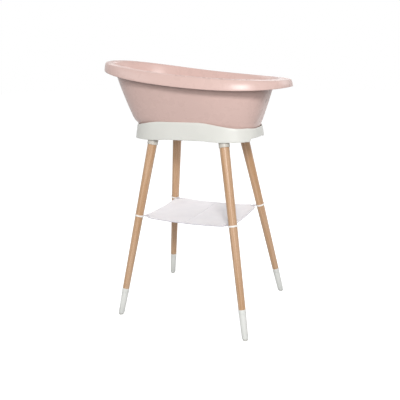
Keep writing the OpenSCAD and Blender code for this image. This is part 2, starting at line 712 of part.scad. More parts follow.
// Middle of the cut across a corner of the cloth, and the direction from there to the band
cut_middle = [cloth_a - corner_cut / 2, cloth_b - corner_cut / 2];
strap_way = (shelf_xy - cut_middle) / norm(shelf_xy - cut_middle);
module shelf_strap(corner) {
    across = [-strap_way.y, strap_way.x];
    cut_across = [-sqrt(0.5), sqrt(0.5)];
    outline = [
        cut_middle - cut_across * strap_wide / 2,
        shelf_xy - across * strap_narrow / 2,
        shelf_xy + across * strap_narrow / 2,
        cut_middle + cut_across * strap_wide / 2];
    heights = [cloth_z(outline[0].x, outline[0].y), shelf_z, shelf_z, cloth_z(outline[3].x, outline[3].y)];
    color(CLOTH) at_corner(corner) difference() {
        polyhedron(
            points = [for (up = [-1, 1]) for (i = [0 : 3]) lift(outline[i], heights[i] + up * strap_t / 2)],
            faces = concat([[0, 1, 2], [0, 2, 3], [4, 6, 5], [4, 7, 6]],
                [for (i = [0 : 3]) let (j = (i + 1) % 4) each [[i, i + 4, j + 4], [i, j + 4, j]]]));
        along_leg() translate([0, 0, band_s - band_h]) cylinder(d = band_d + 2 * tiny, h = 2 * band_h);
    }
}

// Cloth: a sagging sheet with its corners cut, as rows of points along X
inner_rows = 12;
cloth_rows = inner_rows + 4;
cloth_columns = 20;
row_places = concat(
    [-cloth_b, corner_cut / 2 - cloth_b],
    [for (r = [0 : inner_rows]) mix(corner_cut - cloth_b, cloth_b - corner_cut, r / inner_rows)],
    [cloth_b - corner_cut / 2, cloth_b]);
// The sag is least at the corners, where the straps are sewn on
function cloth_z(x, y) =
    shelf_z - edge_sag * (1 - pow(abs(x * y) / (cloth_a * cloth_b), sag_power))
        - middle_sag * (1 - pow(x / cloth_a, 2)) * (1 - pow(y / cloth_b, 2));
function row_half(y) = cloth_a - max(0, abs(y) - (cloth_b - corner_cut));
function cloth_layer(offset) = [
    for (r = [0 : cloth_rows]) let (y = row_places[r], a = row_half(y))
    for (c = [0 : cloth_columns]) let (x = a * (2 * c / cloth_columns - 1))
    [x, y, cloth_z(x, y) + offset]];
module shelf_cloth() {
    across = cloth_columns + 1;
    count = (cloth_rows + 1) * across;
    rim = concat(
        [for (c = [0 : cloth_columns - 1]) c],
        [for (r = [0 : cloth_rows - 1]) r * across + cloth_columns],
        [for (c = [cloth_columns : -1 : 1]) cloth_rows * across + c],
        [for (r = [cloth_rows : -1 : 1]) r * across]);
    color(CLOTH) translate([stand_shift, 0, 0]) polyhedron(
        points = concat(cloth_layer(-cloth_t / 2), cloth_layer(cloth_t / 2)),
        faces = concat(
            [for (r = [0 : cloth_rows - 1]) for (c = [0 : cloth_columns - 1])
                let (p = r * across + c)
                each [[p, p + 1, p + across + 1], [p, p + across + 1, p + across]]],
            [for (r = [0 : cloth_rows - 1]) for (c = [0 : cloth_columns - 1])
                let (p = count + r * across + c)
                each [[p, p + across + 1, p + 1], [p, p + across, p + across + 1]]],
            [for (i = [0 : len(rim) - 1]) let (p = rim[i], q = rim[(i + 1) % len(rim)])
                each [[p, count + p, count + q], [p, count + q, q]]]));
}

tub_shell();
drain_seat();
drain_seal();
drain_nut();
drain_elbow();
drain_plug();
plug_pull_ring();
cradle_ring();
for (c = CORNERS) leg_socket(c);
for (c = CORNERS) leg(c);
for (c = CORNERS) foot_sleeve(c);
for (c = CORNERS) foot_pad(c);
for (c = CORNERS) shelf_band(c);
for (c = CORNERS) shelf_strap(c);
leg_bolts();
socket_screws();
shelf_cloth();
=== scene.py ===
from math import atan2, copysign, cos, hypot, pi, radians, sin

import bmesh
import bpy
from mathutils import Matrix, Vector


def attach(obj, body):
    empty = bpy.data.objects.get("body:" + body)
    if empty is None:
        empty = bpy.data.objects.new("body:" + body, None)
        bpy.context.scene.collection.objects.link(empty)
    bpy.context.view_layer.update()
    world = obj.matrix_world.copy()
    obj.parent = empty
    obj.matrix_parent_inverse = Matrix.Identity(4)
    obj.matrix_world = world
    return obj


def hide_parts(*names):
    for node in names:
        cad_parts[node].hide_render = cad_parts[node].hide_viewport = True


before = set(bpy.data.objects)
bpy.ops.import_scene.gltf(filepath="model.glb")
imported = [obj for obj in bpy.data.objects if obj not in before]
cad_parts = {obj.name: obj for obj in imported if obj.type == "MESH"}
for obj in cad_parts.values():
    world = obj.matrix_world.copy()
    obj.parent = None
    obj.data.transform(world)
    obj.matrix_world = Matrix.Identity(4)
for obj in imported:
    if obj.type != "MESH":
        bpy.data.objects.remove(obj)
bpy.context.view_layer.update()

MM = 0.001

# Clearance of a bore round what sits in it, and the width of a small softened edge
FIT, SOFT = 0.05, 0.8

# Bath: rim, lip and body
RIM_LENGTH, RIM_WIDTH = 860, 470
RIM_HEIGHT_FOOT, RIM_FALL_FOOT, RIM_RISE, RIM_RISE_POWER = 226, 5, 90.5, 1.6
RIM_SQUARENESS, RIM_SQUARENESS_FOOT = 2.3, 2.4
WALL = 3
LIP_FLARE, LIP_FLARE_ENDS = 11, 4
LIP_DEPTH, LIP_DEPTH_HEAD, LIP_DEPTH_FOOT = 45.5, 34, 29
LIP_ROUND = 7
LAND_FALL = 0.06
MOUTH_ROUND_SHARE = 0.36
BASE_HEAD, BASE_FOOT, BASE_SIDE = 258, 280, 124
BODY_HEAD, BODY_FOOT, BODY_SIDE, BODY_HEIGHT = 372, 367, 211, 260
WALL_BOW = 3.6
BODY_SQUARENESS = 3
SEAT_STEP, SEAT_HALF_LENGTH, SEAT_DRAFT = 9, 279, 0.3
SHOULDER_GAP, SHOULDER_HEIGHT = 0.6, 25
FLOOR_ROUND, BASE_ROUND = 26, 14
RECESS_X, RECESS_Y, RECESS_D, RECESS_DEPTH = 381, 66, 24, 1.6

# Drain
DRAIN_X, DRAIN_HOLE_D = 150, 38
FLANGE_R, FLANGE_T = 28, 2.5
SPIGOT_R, SPIGOT_BORE_R, SPIGOT_LENGTH = 12, 9, 22
STUB_R, STUB_LENGTH, DRAIN_BORE_R = 13, 6.5, 10
ELBOW_R, ELBOW_DROP, ELBOW_BASE, COLLAR_R, COLLAR_REACH = 16, 16.5, 14, 13.5, 17
SEAL_T, SEAL_R, NUT_H, NUT_FLATS = 3, 25, 9, 54
NUT_CORNER, NUT_GROOVE, GROOVE_TURN = 3.3, 1.2, 0.14
PLUG_R, PLUG_LENGTH, PLUG_TAPER, CAP_T, CAP_OVER = 15, 12, 1.5, 4, 5
LUG_H, LUG_W = 9, 8
WIRE_R, PULL_RING_R = 1.5, 9

# Cradle ring
SEAT_HEIGHT, STAND_SHIFT = 839.7, 11
BASE_Z = SEAT_HEIGHT + 0.3
FLOOR_Z = BASE_Z + WALL
RING_WALL, RING_GAP, EDGE_BEAD = 3, 2, 1.2
CREST_HIGH, CREST_LOW, CREST_DIP = 58, 32, 5
SKIRT_DEPTH, SKIRT_DROP, CUT_DEPTH, CUT_WIDTH = 18.5, 5.5, 12, 168
FLARE_ENDS, FLARE_SIDES = 0.2, 0.075
RING_SQUARENESS = 3
LEDGE_T, LEDGE_ENDS, LEDGE_SIDES = 4, 80, 66
FALL_FOOT, FALL_HEAD = (60, 255), (110, 330)
SKIRT_FALL = (70, 165)

# Legs, sockets and feet
SOCKET_X, SOCKET_Y = 165.3, 111.05
SPLAY_X, SPLAY_Y = 146.7, 149.4
SOCKET_DEPTH, FOOT_JOINT_Z = 46.7, 128.6
LEG_TOP_D, LEG_LOW_D = 42, 31
SOCKET_D, BEAD_H, EAR_T, EAR_W = 46.4, 4, 5, 14
TOP_TENON_R, TOP_TENON_L, LOW_TENON_R, LOW_TENON_L = 19, 26, 11.5, 42
BOLT_R, BOLT_IN_LEG, BOLT_IN_SOCKET = 4, 34, 11
SCREW_R, SCREW_OUT, SCREW_HEAD_R, SCREW_HEAD_H = 2, 30.5, 4, 2.6
SLEEVE_TOP_D, SLEEVE_LOW_D, COLLAR_DROP, COLLAR_OUT, SLEEVE_LIFT = 32, 27, 20, 0.8, 8
PAD_R = 11.5

# Shelf
SHELF_Z, BAND_H, BAND_T, BAND_CLEARANCE = 472.6, 8, 2, 0.2
CLOTH_IN_X, CORNER_CUT = 11.4, 36
EDGE_SAG, MIDDLE_SAG, SAG_POWER = 11, 5, 2.6
PULL_H, PULL_COUNT, PULL_REACH, RIPPLE_H = 0.6, 9, 170, 0.35
STRAP_WIDE, STRAP_NARROW = 34, 8

CORNERS = {"front_left": (-1, -1), "front_right": (1, -1),
           "back_left": (-1, 1), "back_right": (1, 1)}


# Plain sums
def power(value, exponent):
    return copysign(abs(value) ** exponent, value)


def mix(start, end, share):
    return start + (end - start) * share


def clamp(share):
    return max(0.0, min(1.0, share))


def smooth(share):
    share = clamp(share)
    return share * share * (3 - 2 * share)


def oval(angle, middle, half_length, half_width, squareness):
    """Point of a superellipse, flat at height 0."""
    return Vector((middle + half_length * power(cos(angle), 2 / squareness),
                   half_width * power(sin(angle), 2 / squareness), 0))


def on_stand(x, y, z):
    return Vector((STAND_SHIFT + x, y, z))


def lifted(point, height):
    return Vector((point.x, point.y, height))


def arc(first, last, steps):
    """Angles in degrees as cosine and sine pairs, from first to last."""
    turns = [radians(mix(first, last, step / steps)) for step in range(steps + 1)]
    return [(cos(turn), sin(turn)) for turn in turns]


def bend(start, leave, arrive, end, steps):
    """Points of a smooth curve from start to end, without its two ends."""
    points = []
    for step in range(1, steps):
        near, far = 1 - step / steps, step / steps
        points.append(start * near ** 3 + leave * 3 * near ** 2 * far
                      + arrive * 3 * near * far ** 2 + end * far ** 3)
    return points


# Modelling
def select_only(*pieces):
    """Selects these pieces and nothing else, and makes the first one active."""
    bpy.ops.object.select_all(action="DESELECT")
    for piece in pieces:
        piece.select_set(True)
    bpy.context.view_layer.objects.active = pieces[0]


def grow(name, rings, ends="faces"):
    """A skin grown from a circle, extruded to one ring of points after another.

    ends is faces or poles where both ends are closed flat or by one point, loop where the last
    ring joins the first, and open where they stay open.
    """
    bpy.ops.mesh.primitive_circle_add(vertices=len(rings[0]), radius=1, fill_type="NOTHING")
    piece = bpy.context.object
    piece.name = piece.data.name = name
    bpy.ops.object.mode_set(mode="EDIT")
    bpy.ops.mesh.select_mode(type="EDGE")
    mesh = bmesh.from_edit_mesh(piece.data)
    mesh.verts.layers.int.new("spoke")
    mesh.verts.layers.int.new("row")
    for number, vert in enumerate(mesh.verts):
        vert[mesh.verts.layers.int["spoke"]] = number
    bpy.ops.mesh.select_all(action="SELECT")

    def settle(ring, row):
        mesh = bmesh.from_edit_mesh(piece.data)
        spoke, rows = mesh.verts.layers.int["spoke"], mesh.verts.layers.int["row"]
        for vert in mesh.verts:
            if vert.select:
                vert.co = Vector(ring[vert[spoke]]) * MM
                vert[rows] = row
        bmesh.update_edit_mesh(piece.data)

    settle(rings[0], 0)
    for row, ring in enumerate(rings[1:] + ([rings[0]] if ends == "loop" else []), 1):
        bpy.ops.mesh.extrude_edges_move()
        settle(ring, row)
    if ends in ("faces", "poles"):
        for end in (0, len(rings) - 1):
            mesh = bmesh.from_edit_mesh(piece.data)
            rows = mesh.verts.layers.int["row"]
            for edge in mesh.edges:
                edge.select_set(all(vert[rows] == end for vert in edge.verts))
            bmesh.update_edit_mesh(piece.data)
            if ends == "faces":
                bpy.ops.mesh.edge_face_add()
            else:
                bpy.ops.mesh.extrude_edges_move()
                bpy.ops.mesh.merge(type="CENTER")
    bpy.ops.mesh.select_all(action="SELECT")
    bpy.ops.mesh.remove_doubles(threshold=0.01 * MM)
    if ends != "open":
        bpy.ops.mesh.normals_make_consistent(inside=False)
    bpy.ops.object.mode_set(mode="OBJECT")
    for layer in ("spoke", "row"):
        piece.data.attributes.remove(piece.data.attributes[layer])
    return piece


def turned_rings(profile, place, spokes=48):
    """Rings of a turned shape, from pairs of place along the axis and radius."""
    return [[place @ Vector((radius * c, radius * s, along)) for c, s in arc(0, 360, spokes)[:-1]]
            for along, radius in profile]


def turned(name, profile, place, spokes=48, ends="faces"):
    """A piece turned about its frame's z axis."""
    return grow(name, turned_rings(profile, place, spokes), ends)


def apply_modifier(piece, kind, **settings):
    select_only(piece)
    modifier = piece.modifiers.new(kind.lower(), kind)
    for setting, value in settings.items():
        setattr(modifier, setting, value)
    bpy.ops.object.modifier_apply(modifier=modifier.name)


def carve(piece, tool, operation="DIFFERENCE"):
    """Cuts the tool out of the piece, or joins it on, and takes the tool away."""
    apply_modifier(piece, "BOOLEAN", operation=operation, object=tool, solver="EXACT")
    bpy.data.objects.remove(tool)


def join(name, *parts):
    select_only(*parts)
    bpy.ops.object.join()
    joined = bpy.context.object
    joined.name = joined.data.name = name
    return joined


def dress(piece, finish, stands_for=None, body="stand", sharp=35):
    """Gives a finished piece its material and body, and hides the node that it replaces.

    Edges that turn by more than sharp degrees stay sharp.
    """
    select_only(piece)
    bpy.ops.object.shade_smooth_by_angle(angle=radians(sharp))
    piece.data.materials.clear()
    piece.data.materials.append(finish)
    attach(piece, body)
    if stands_for:
        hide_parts(stands_for)
    return piece


# Materials
def colour(code):
    """Linear colour of an sRGB hex value."""
    parts = [int(code[place:place + 2], 16) / 255 for place in (1, 3, 5)]
    return (*[part / 12.92 if part <= 0.04045 else ((part + 0.055) / 1.055) ** 2.4
              for part in parts], 1)


def add(tree, kind, inputs=(), output=0, **settings):
    """Adds a node with its settings and its inputs, as values or links; returns an output."""
    made = tree.nodes.new("ShaderNode" + kind)
    for setting, value in settings.items():
        setattr(made, setting, value)
    for socket, value in dict(inputs).items():
        if isinstance(value, bpy.types.NodeSocket):
            tree.links.new(value, made.inputs[socket])
        else:
            made.inputs[socket].default_value = value
    return made.outputs[output] if made.outputs else None


def empty_tree(holder):
    """Node tree of a material or world, with nothing in it."""
    holder.use_nodes = True
    holder.node_tree.nodes.clear()
    return holder.node_tree


def new_material(name, **shader):
    """A material whose shader has these constants, its tree, and where its patterns are placed."""
    material = bpy.data.materials.new(name)
    tree = empty_tree(material)
    add(tree, "OutputMaterial", {"Surface": add(tree, "BsdfPrincipled", {
        socket.replace("_", " "): value for socket, value in shader.items()})})
    return material, tree, add(tree, "TexCoord", output="Object")


def cover(material, share, base, other, roughness, height=None, depth_mm=0.0, strength=0.0):
    """Gives a material its two colours, mixed by a share, its roughness and its relief."""
    tree = material.node_tree
    surface = tree.nodes["Principled BSDF"].inputs
    tree.links.new(add(tree, "Mix", {0: share, 6: base, 7: colour(other)}, 2, data_type="RGBA"),
                   surface["Base Color"])
    tree.links.new(roughness, surface["Roughness"])
    if height is not None:
        tree.links.new(add(tree, "Bump", {"Height": height, "Distance": depth_mm * MM,
                                          "Strength": strength}), surface["Normal"])
    return material


def moulded_plastic(name, main, deeper, roughness, grain_mm, grain_depth_mm):
    """Injection-moulded plastic. Its colour drifts a little where the melt flowed, its gloss
    varies over a few centimetres, and the tool's fine texture breaks up the highlights."""
    material, tree, place = new_material(name, IOR=1.49, Specular_IOR_Level=0.3)
    flow = add(tree, "TexNoise", {"Vector": place, "Scale": 9, "Detail": 2})
    gloss = add(tree, "TexNoise", {"Vector": place, "Scale": 30, "Detail": 3})
    grain = add(tree, "TexNoise", {"Vector": place, "Scale": 1 / (grain_mm * MM), "Detail": 1})
    return cover(material, add(tree, "MapRange", {0: flow, 1: 0.35, 2: 0.65}), colour(main),
                 deeper, add(tree, "MapRange", {0: gloss, 1: 0.3, 2: 0.7, 3: roughness - 0.02,
                                                4: roughness + 0.02}), grain, grain_depth_mm, 0.5)


# Polypropylene, injection moulded and lightly polished: pale pink with a soft satin gloss
bath_pink = moulded_plastic(
    "Moulded polypropylene, pale pink", "#d5b8b0", "#d4b7af", 0.28, 3, 0.008)
# ABS, injection moulded: a clean white with a trace of green, a little more matt than the bath
stand_white = moulded_plastic("Moulded ABS, white", "#dcdcd6", "#d8d8d2", 0.33, 2.5, 0.015)
# Polypropylene sockets: a warmer white than the cradle ring, painted greyer as the shade that the
# ring casts on them
socket_white_painted_shade = moulded_plastic(
    "Moulded polypropylene, warm white", "#c9c4bb", "#c5c0b7", 0.4, 2, 0.015)
# Polypropylene foot sleeves: a little whiter than the cradle, and more matt
foot_white = moulded_plastic("Moulded polypropylene, white", "#e6e7e3", "#e0e1dd", 0.42, 2, 0.02)
# Thermoplastic rubber of the glides and the drain's seal: matt, slightly greyer than the sleeves
glide_rubber = moulded_plastic(
    "Moulded thermoplastic rubber, pale grey", "#d2d2cd", "#cbcbc6", 0.6, 1.5, 0.04)
# Soft PVC of the plug: off-white and matt, with a fine skin
plug_vinyl = moulded_plastic("Moulded soft vinyl, off-white", "#d8d6cf", "#d0cec7", 0.5, 1.5, 0.03)


def lacquered_beech(corner):
    """Beech, turned and clear lacquered. Long pale growth lines run along the leg, crossed by
    the short dark flecks of its rays, under a thin satin lacquer."""
    material, tree, place = new_material("Clear-lacquered beech, " + corner.replace("_", " "),
                                         IOR=1.5, Coat_Weight=0.25, Coat_Roughness=0.3)
    foot, turn = leg_frame(corner, MM).decompose()[:2]
    along_leg = add(tree, "Mapping", {"Vector": place, "Location": foot,
                                      "Rotation": turn.to_euler()}, vector_type="TEXTURE")
    # Growth lines 4 mm apart, drawn twice as coarse so that they show, with waves 250 mm long
    drawn_out = add(tree, "Mapping", {"Vector": along_leg, "Scale": (1, 1, 0.08)})
    sway = add(tree, "TexNoise", {"Vector": drawn_out, "Scale": 45, "Detail": 2})
    lines = add(tree, "TexWave", {
        "Vector": drawn_out, "Scale": 40, "Distortion": 5, "Detail": 2, "Detail Scale": 1.5,
        "Phase Offset": 2 * list(CORNERS).index(corner)}, 1, bands_direction="X")
    grain = add(tree, "Math", {0: add(tree, "MapRange", {0: lines, 4: 0.6}),
                               1: add(tree, "MapRange", {0: sway, 1: 0.3, 2: 0.7, 4: 0.5})})
    wood = add(tree, "Mix", {0: grain, 6: colour("#ccaa8b"), 7: colour("#b58d67")}, 2,
               data_type="RGBA")
    # Ray flecks 0.5 mm wide and 3 mm long, drawn about twice as coarse so that they show
    short = add(tree, "Mapping", {"Vector": along_leg, "Scale": (1, 1, 0.2)})
    flecks = add(tree, "TexNoise", {"Vector": short, "Scale": 900, "Detail": 0})
    return cover(material, add(tree, "MapRange", {0: flecks, 1: 0.62, 2: 0.75, 4: 0.5}), wood,
                 "#8f6341", add(tree, "MapRange", {0: grain, 3: 0.42, 4: 0.52}), grain, 0.1, 0.4)


def woven(name, main, deeper, thread_mm, roughness, sheen):
    """Plain-woven cloth: two crossing rows of threads, each thread a little rounded, with a soft
    sheen at low angles. The threads are drawn coarser than the real 0.4 mm, so that they show."""
    material, tree, place = new_material(name, IOR=1.45, Sheen_Weight=sheen, Sheen_Roughness=0.5)
    warp, weft = [add(tree, "TexWave", {
        "Vector": place, "Scale": 1 / (thread_mm * MM) / 10 * pi, "Distortion": 0.6, "Detail": 1},
        1, bands_direction=direction) for direction in "XY"]
    weave = add(tree, "Math", {0: warp, 1: weft}, operation="MULTIPLY")
    mottle = add(tree, "TexNoise", {"Vector": place, "Scale": 22, "Detail": 3})
    # Where the threads dip the colour darkens: painted shade between the threads; the mottle adds
    # the cloth's own uneven tone
    share = add(tree, "Math", {0: add(tree, "MapRange", {0: weave, 3: 0.45, 4: 0}),
                               1: add(tree, "MapRange", {0: mottle, 1: 0.35, 2: 0.65, 4: 0.55})})
    return cover(material, share, colour(main), deeper,
                 add(tree, "MapRange", {0: mottle, 1: 0.3, 2: 0.7, 3: roughness - 0.05,
                                        4: roughness + 0.05}), weave, 0.15, 0.4)


# Coated polyester of the shelf: smooth lavender-white
shelf_cloth = woven("Coated polyester cloth, lavender-white", "#f6f4f7", "#f0eef2", 1.4, 0.55, 0.15)
# Polyester piping at the cloth's edge and the gathered straps: the same cloth, painted grey as the
# shade along the hem's edge and in the straps
shelf_piping_painted_shade = woven("Coated polyester piping, pale grey", "#d3d1d7", "#cac8ce", 1.4, 0.55, 0.1)
# Polyester webbing of the bands: whiter and coarser
shelf_webbing = woven("Polyester webbing, white", "#fbf8f4", "#f0ece6", 1.8, 0.7, 0.2)
# Polyester sewing thread: greyer than the cloth, with a slight gloss; the grey is painted shade
# that draws the seams' dark lines
thread = woven("Polyester sewing thread, white", "#dad8dd", "#cbc9cf", 0.8, 0.45, 0.1)


# Zinc-plated steel of the screws and bolts: bright, bluish, with soft clouding of the plating
zinc, tree, place = new_material("Zinc-plated steel", Metallic=1)
cloud = add(tree, "TexNoise", {"Vector": place, "Scale": 250, "Detail": 3})
cover(zinc, add(tree, "MapRange", {0: cloud, 1: 0.35, 2: 0.65}), colour("#c9cdd0"), "#b3b8bd",
      add(tree, "MapRange", {0: cloud, 1: 0.3, 2: 0.7, 3: 0.24, 4: 0.4}))


# Bath
def spoke_angles(count, evening=1.25):
    """Angles whose points are spread evenly round a rounded oblong."""
    turns = [2 * pi * spoke / count for spoke in range(count)]
    return [atan2(power(sin(turn), evening), power(cos(turn), evening)) for turn in turns]


def bow(height):
    return 4 * WALL_BOW * height / BODY_HEIGHT * (1 - height / BODY_HEIGHT)


def end_share(angle):
    return abs(cos(angle)) ** 3


def rim_squareness(angle):
    return RIM_SQUARENESS_FOOT if cos(angle) > 0 else RIM_SQUARENESS


def rim_height(angle):
    x = (RIM_LENGTH / 2 - LIP_FLARE_ENDS) * power(cos(angle), 2 / rim_squareness(angle))
    rise = RIM_RISE * ((RIM_LENGTH / 2 - x) / RIM_LENGTH) ** RIM_RISE_POWER
    fall = RIM_FALL_FOOT * end_share(angle) if cos(angle) > 0 else 0
    return RIM_HEIGHT_FOOT + rise - fall


def lip_depth(angle):
    depth_at_end = LIP_DEPTH_FOOT if cos(angle) > 0 else LIP_DEPTH_HEAD
    return mix(LIP_DEPTH, depth_at_end, end_share(angle))


def side_at(height):
    return mix(BASE_SIDE, BODY_SIDE, height / BODY_HEIGHT) + bow(height)


def body_squareness(height):
    return mix(BODY_SQUARENESS, RIM_SQUARENESS, clamp(height / BODY_HEIGHT))


def body_point(angle, height, inset):
    head = mix(BASE_HEAD + SEAT_STEP, BODY_HEAD, height / BODY_HEIGHT) + bow(height)
    foot = mix(BASE_FOOT, BODY_FOOT, height / BODY_HEIGHT) + bow(height)
    return oval(angle, (foot - head) / 2, (foot + head) / 2 - inset, side_at(height) - inset,
                body_squareness(height))


def ring_half_length(height):
    return SEAT_HALF_LENGTH + RING_GAP + RING_WALL + FLARE_ENDS * (CREST_LOW + 1 - height)


def ring_half_width(height):
    return side_at(CREST_HIGH) + RING_GAP + RING_WALL + FLARE_SIDES * (CREST_HIGH - height)


def crest_height(angle):
    """Height of the cradle ring's wavy edge above the seat."""
    x = ring_half_length(CREST_LOW) * power(cos(angle), 2 / RING_SQUARENESS)
    start, end = FALL_FOOT if x > 0 else FALL_HEAD
    rise = 1 - smooth((abs(x) - start) / (end - start))
    dip = CREST_DIP * smooth((x - ring_half_length(CREST_LOW) + 20) / 20)
    return CREST_LOW + (CREST_HIGH - CREST_LOW) * rise - dip


def wall_point(angle, height, inset):
    """Point of the bath's wall. Its outside has a rounded shoulder just above the ring's edge."""
    low_end = CREST_LOW + 1
    half = (SEAT_HALF_LENGTH - SEAT_DRAFT * max(0, low_end - height)
            - FLARE_ENDS * max(0, height - low_end))
    seat = oval(angle, STAND_SHIFT, half - inset, side_at(height) - inset, body_squareness(height))
    body = body_point(angle, height, inset)
    up = clamp((height - crest_height(angle) - SHOULDER_GAP) / SHOULDER_HEIGHT)
    shoulder = 0
    if up and not inset:
        shoulder = min(1, (RING_GAP + RING_WALL) / max((body - seat).length, 1))
    return lifted(mix(seat, body, mix(shoulder, 1, 1 - (1 - up) ** 2)), BASE_Z + height)


def lip_point(angle, inset, height, flared=1.0):
    """Point of the lip: flared is 0 at its upper edge and 1 at its lower one."""
    drawn_in = inset + (1 - flared) * mix(LIP_FLARE, LIP_FLARE_ENDS, end_share(angle))
    return lifted(oval(angle, 0, RIM_LENGTH / 2 - drawn_in, RIM_WIDTH / 2 - drawn_in,
                       rim_squareness(angle)), BASE_Z + height)


def lip_curve(angle, inset, steps):
    """The lip's face from its lower edge to the land, drawn in by inset: a softly swollen curve."""
    top, depth = rim_height(angle), lip_depth(angle)
    low = lip_point(angle, inset, top - depth + WALL / 2)
    high = lip_point(angle, LIP_ROUND, top - inset, 0)
    leave = mix(low, lip_point(angle, inset, top, 0), 0.42)
    leave = lifted(leave + (low - leave) * 0.35, leave.z)
    arrive = lip_point(angle, inset + 1, top - inset - 0.3, 0.1)
    return [low] + bend(low, leave, arrive, high, steps) + [high]


def bath_profile(angle):
    """Points from the underside's flat, up the outside, round the lip and down to the floor."""
    rim = rim_height(angle)
    mouth = body_point(angle, rim, WALL)
    lip_top = lip_point(angle, LIP_ROUND, rim, 0)
    land_width = (lip_top - mouth).xy.length
    mouth_round = WALL + 1 + MOUTH_ROUND_SHARE * (land_width - WALL)
    land_z = BASE_Z + rim + LAND_FALL * land_width
    wall_top = rim + LAND_FALL * land_width - mouth_round
    land_start = lifted(mix(mouth, lip_top, mouth_round / land_width), land_z)
    land_way = (lip_top - land_start).normalized()
    crest = crest_height(angle) + SHOULDER_GAP

    def wall_heights(low):
        step_up = [crest + SHOULDER_HEIGHT * share
                   for share in (0, 0.002, 0.05, 0.12, 0.25, 0.4, 0.65, 1)]
        low_part = [mix(low, max(crest, low), share) for share in (0.35, 0.7)]
        upper = [mix(crest + SHOULDER_HEIGHT, wall_top, share / 8) for share in range(1, 9)]
        return [max(low + 0.02 * place, height)
                for place, height in enumerate(low_part + step_up + upper, 1)]

    def mouth_curve(inset, down):
        """The rounding between a wall's top and the land."""
        start = wall_point(angle, wall_top, inset)
        way = (start - wall_point(angle, wall_top - 6, inset)).normalized()
        end = land_start - Vector((0, 0, down))
        reach = 0.32 * (end - start).length
        return bend(start, start + way * reach, end - land_way * reach, end, 7) + [end]

    middle = on_stand(0, 0, 0)
    points = [lifted(mix(middle, wall_point(angle, 0, BASE_ROUND), share), BASE_Z)
              for share in (0.3, 0.7)]
    points += [wall_point(angle, BASE_ROUND * (1 - c), BASE_ROUND * (1 - s))
               for c, s in arc(0, 90, 5)]
    points += [wall_point(angle, height, 0) for height in wall_heights(BASE_ROUND)]
    points += mouth_curve(0, WALL)
    points += reversed(lip_curve(angle, WALL, 7))
    low = rim - lip_depth(angle) + WALL / 2
    points += [lip_point(angle, WALL / 2 * (1 + c), low - WALL / 2 * s)
               for c, s in arc(30, 150, 4)]
    outside = lip_curve(angle, 0, 9)
    points += outside + [mix(outside[-1], land_start, 0.5)]
    points += reversed(mouth_curve(WALL, 0))
    points += [wall_point(angle, height, WALL)
               for height in reversed(wall_heights(WALL + FLOOR_ROUND))]
    points += [wall_point(angle, WALL + FLOOR_ROUND * (1 - c), WALL + FLOOR_ROUND * (1 - s))
               for c, s in arc(90, 0, 7)]
    return points + [lifted(mix(points[-1], middle, share), FLOOR_Z) for share in (0.3, 0.7)]


def rings_of(profile, angles):
    return [list(ring) for ring in zip(*[profile(angle) for angle in angles])]


def upright(x, y):
    return Matrix.Translation((x, y, 0))


def facing(place, way):
    """Frame at a place, with its z axis along a direction."""
    return Matrix.Translation(place) @ way.to_track_quat("Z", "Y").to_matrix().to_4x4()


bath = grow("bath_wall", rings_of(bath_profile, spoke_angles(144)), "poles")
drain, hole_r = upright(DRAIN_X, 0), DRAIN_HOLE_D / 2
carve(bath, turned("drain_tool", [(BASE_Z - 2, hole_r), (FLOOR_Z + 2, hole_r)], drain))
# The recess in the land at the foot end is cut square to the land, and its floor has a soft edge
bpy.context.evaluated_depsgraph_get()
above_recess = Vector((RECESS_X, RECESS_Y, 1200)) * MM
land_spot, land_normal = bath.ray_cast(above_recess, Vector((0, 0, -1)))[1:3]
recess_r = RECESS_D / 2
carve(bath, turned("recess_tool", [
    (-RECESS_DEPTH, recess_r - 1), (-RECESS_DEPTH + 0.3, recess_r - 0.3),
    (-RECESS_DEPTH + 1, recess_r), (6, recess_r + 0.8)], facing(land_spot / MM, land_normal)))
dress(bath, bath_pink, "tub_shell", "tub")


# Cradle ring
def ring_point(angle, height, inset):
    return lifted(oval(angle, STAND_SHIFT, ring_half_length(height) - inset,
                       ring_half_width(height) - inset, RING_SQUARENESS), SEAT_HEIGHT + height)


def skirt_height(angle):
    place = ring_point(angle, 0, 0)
    x, y = place.x - STAND_SHIFT, abs(place.y)
    drop = SKIRT_DROP * smooth((abs(x) - SKIRT_FALL[0]) / (SKIRT_FALL[1] - SKIRT_FALL[0]))
    cut = CUT_DEPTH * (1 - smooth((y - CUT_WIDTH / 2 + 2) / 5)) if x > 0 else 0
    return -SKIRT_DEPTH - drop + cut


def cradle_profile(angle):
    """Points up the outside, over the beaded edge, down inside, round the ledge and the skirt."""
    low, high = skirt_height(angle), crest_height(angle)
    skirt_round, edge_round, fillet = 2.5, (RING_WALL + EDGE_BEAD) / 2, 3
    ledge_edge = lifted(oval(angle, STAND_SHIFT, ring_half_length(0) - LEDGE_ENDS,
                             ring_half_width(0) - LEDGE_SIDES, RING_SQUARENESS), SEAT_HEIGHT)
    inwards = (ledge_edge - ring_point(angle, 0, 0)).normalized()
    spots = [(low + skirt_round * (1 - s), skirt_round * (1 - c)) for c, s in arc(90, 0, 5)]
    spots += [(mix(low + skirt_round, high - edge_round, step / 6), 0) for step in range(1, 7)]
    spots += [(high - edge_round * (1 - s), edge_round * (1 - c)) for c, s in arc(0, 180, 8)[1:]]
    spots += [(mix(high - 4, fillet, step / 4), RING_WALL) for step in range(5)]
    spots += [(fillet * (1 - s), RING_WALL + fillet * (1 - c)) for c, s in arc(0, 90, 4)[1:]]
    half = LEDGE_T / 2
    ledge = [ledge_edge - inwards * half * (1 - c) + Vector((0, 0, half * s - half))
             for c, s in arc(90, -90, 8)]
    under = [(-LEDGE_T - fillet * (1 - s), RING_WALL + fillet * (1 - c)) for c, s in arc(90, 0, 4)]
    under += [(mix(-LEDGE_T - fillet, low + 0.5, step / 2), RING_WALL) for step in range(1, 3)]
    return ([ring_point(angle, *spot) for spot in spots] + ledge
            + [ring_point(angle, *spot) for spot in under])


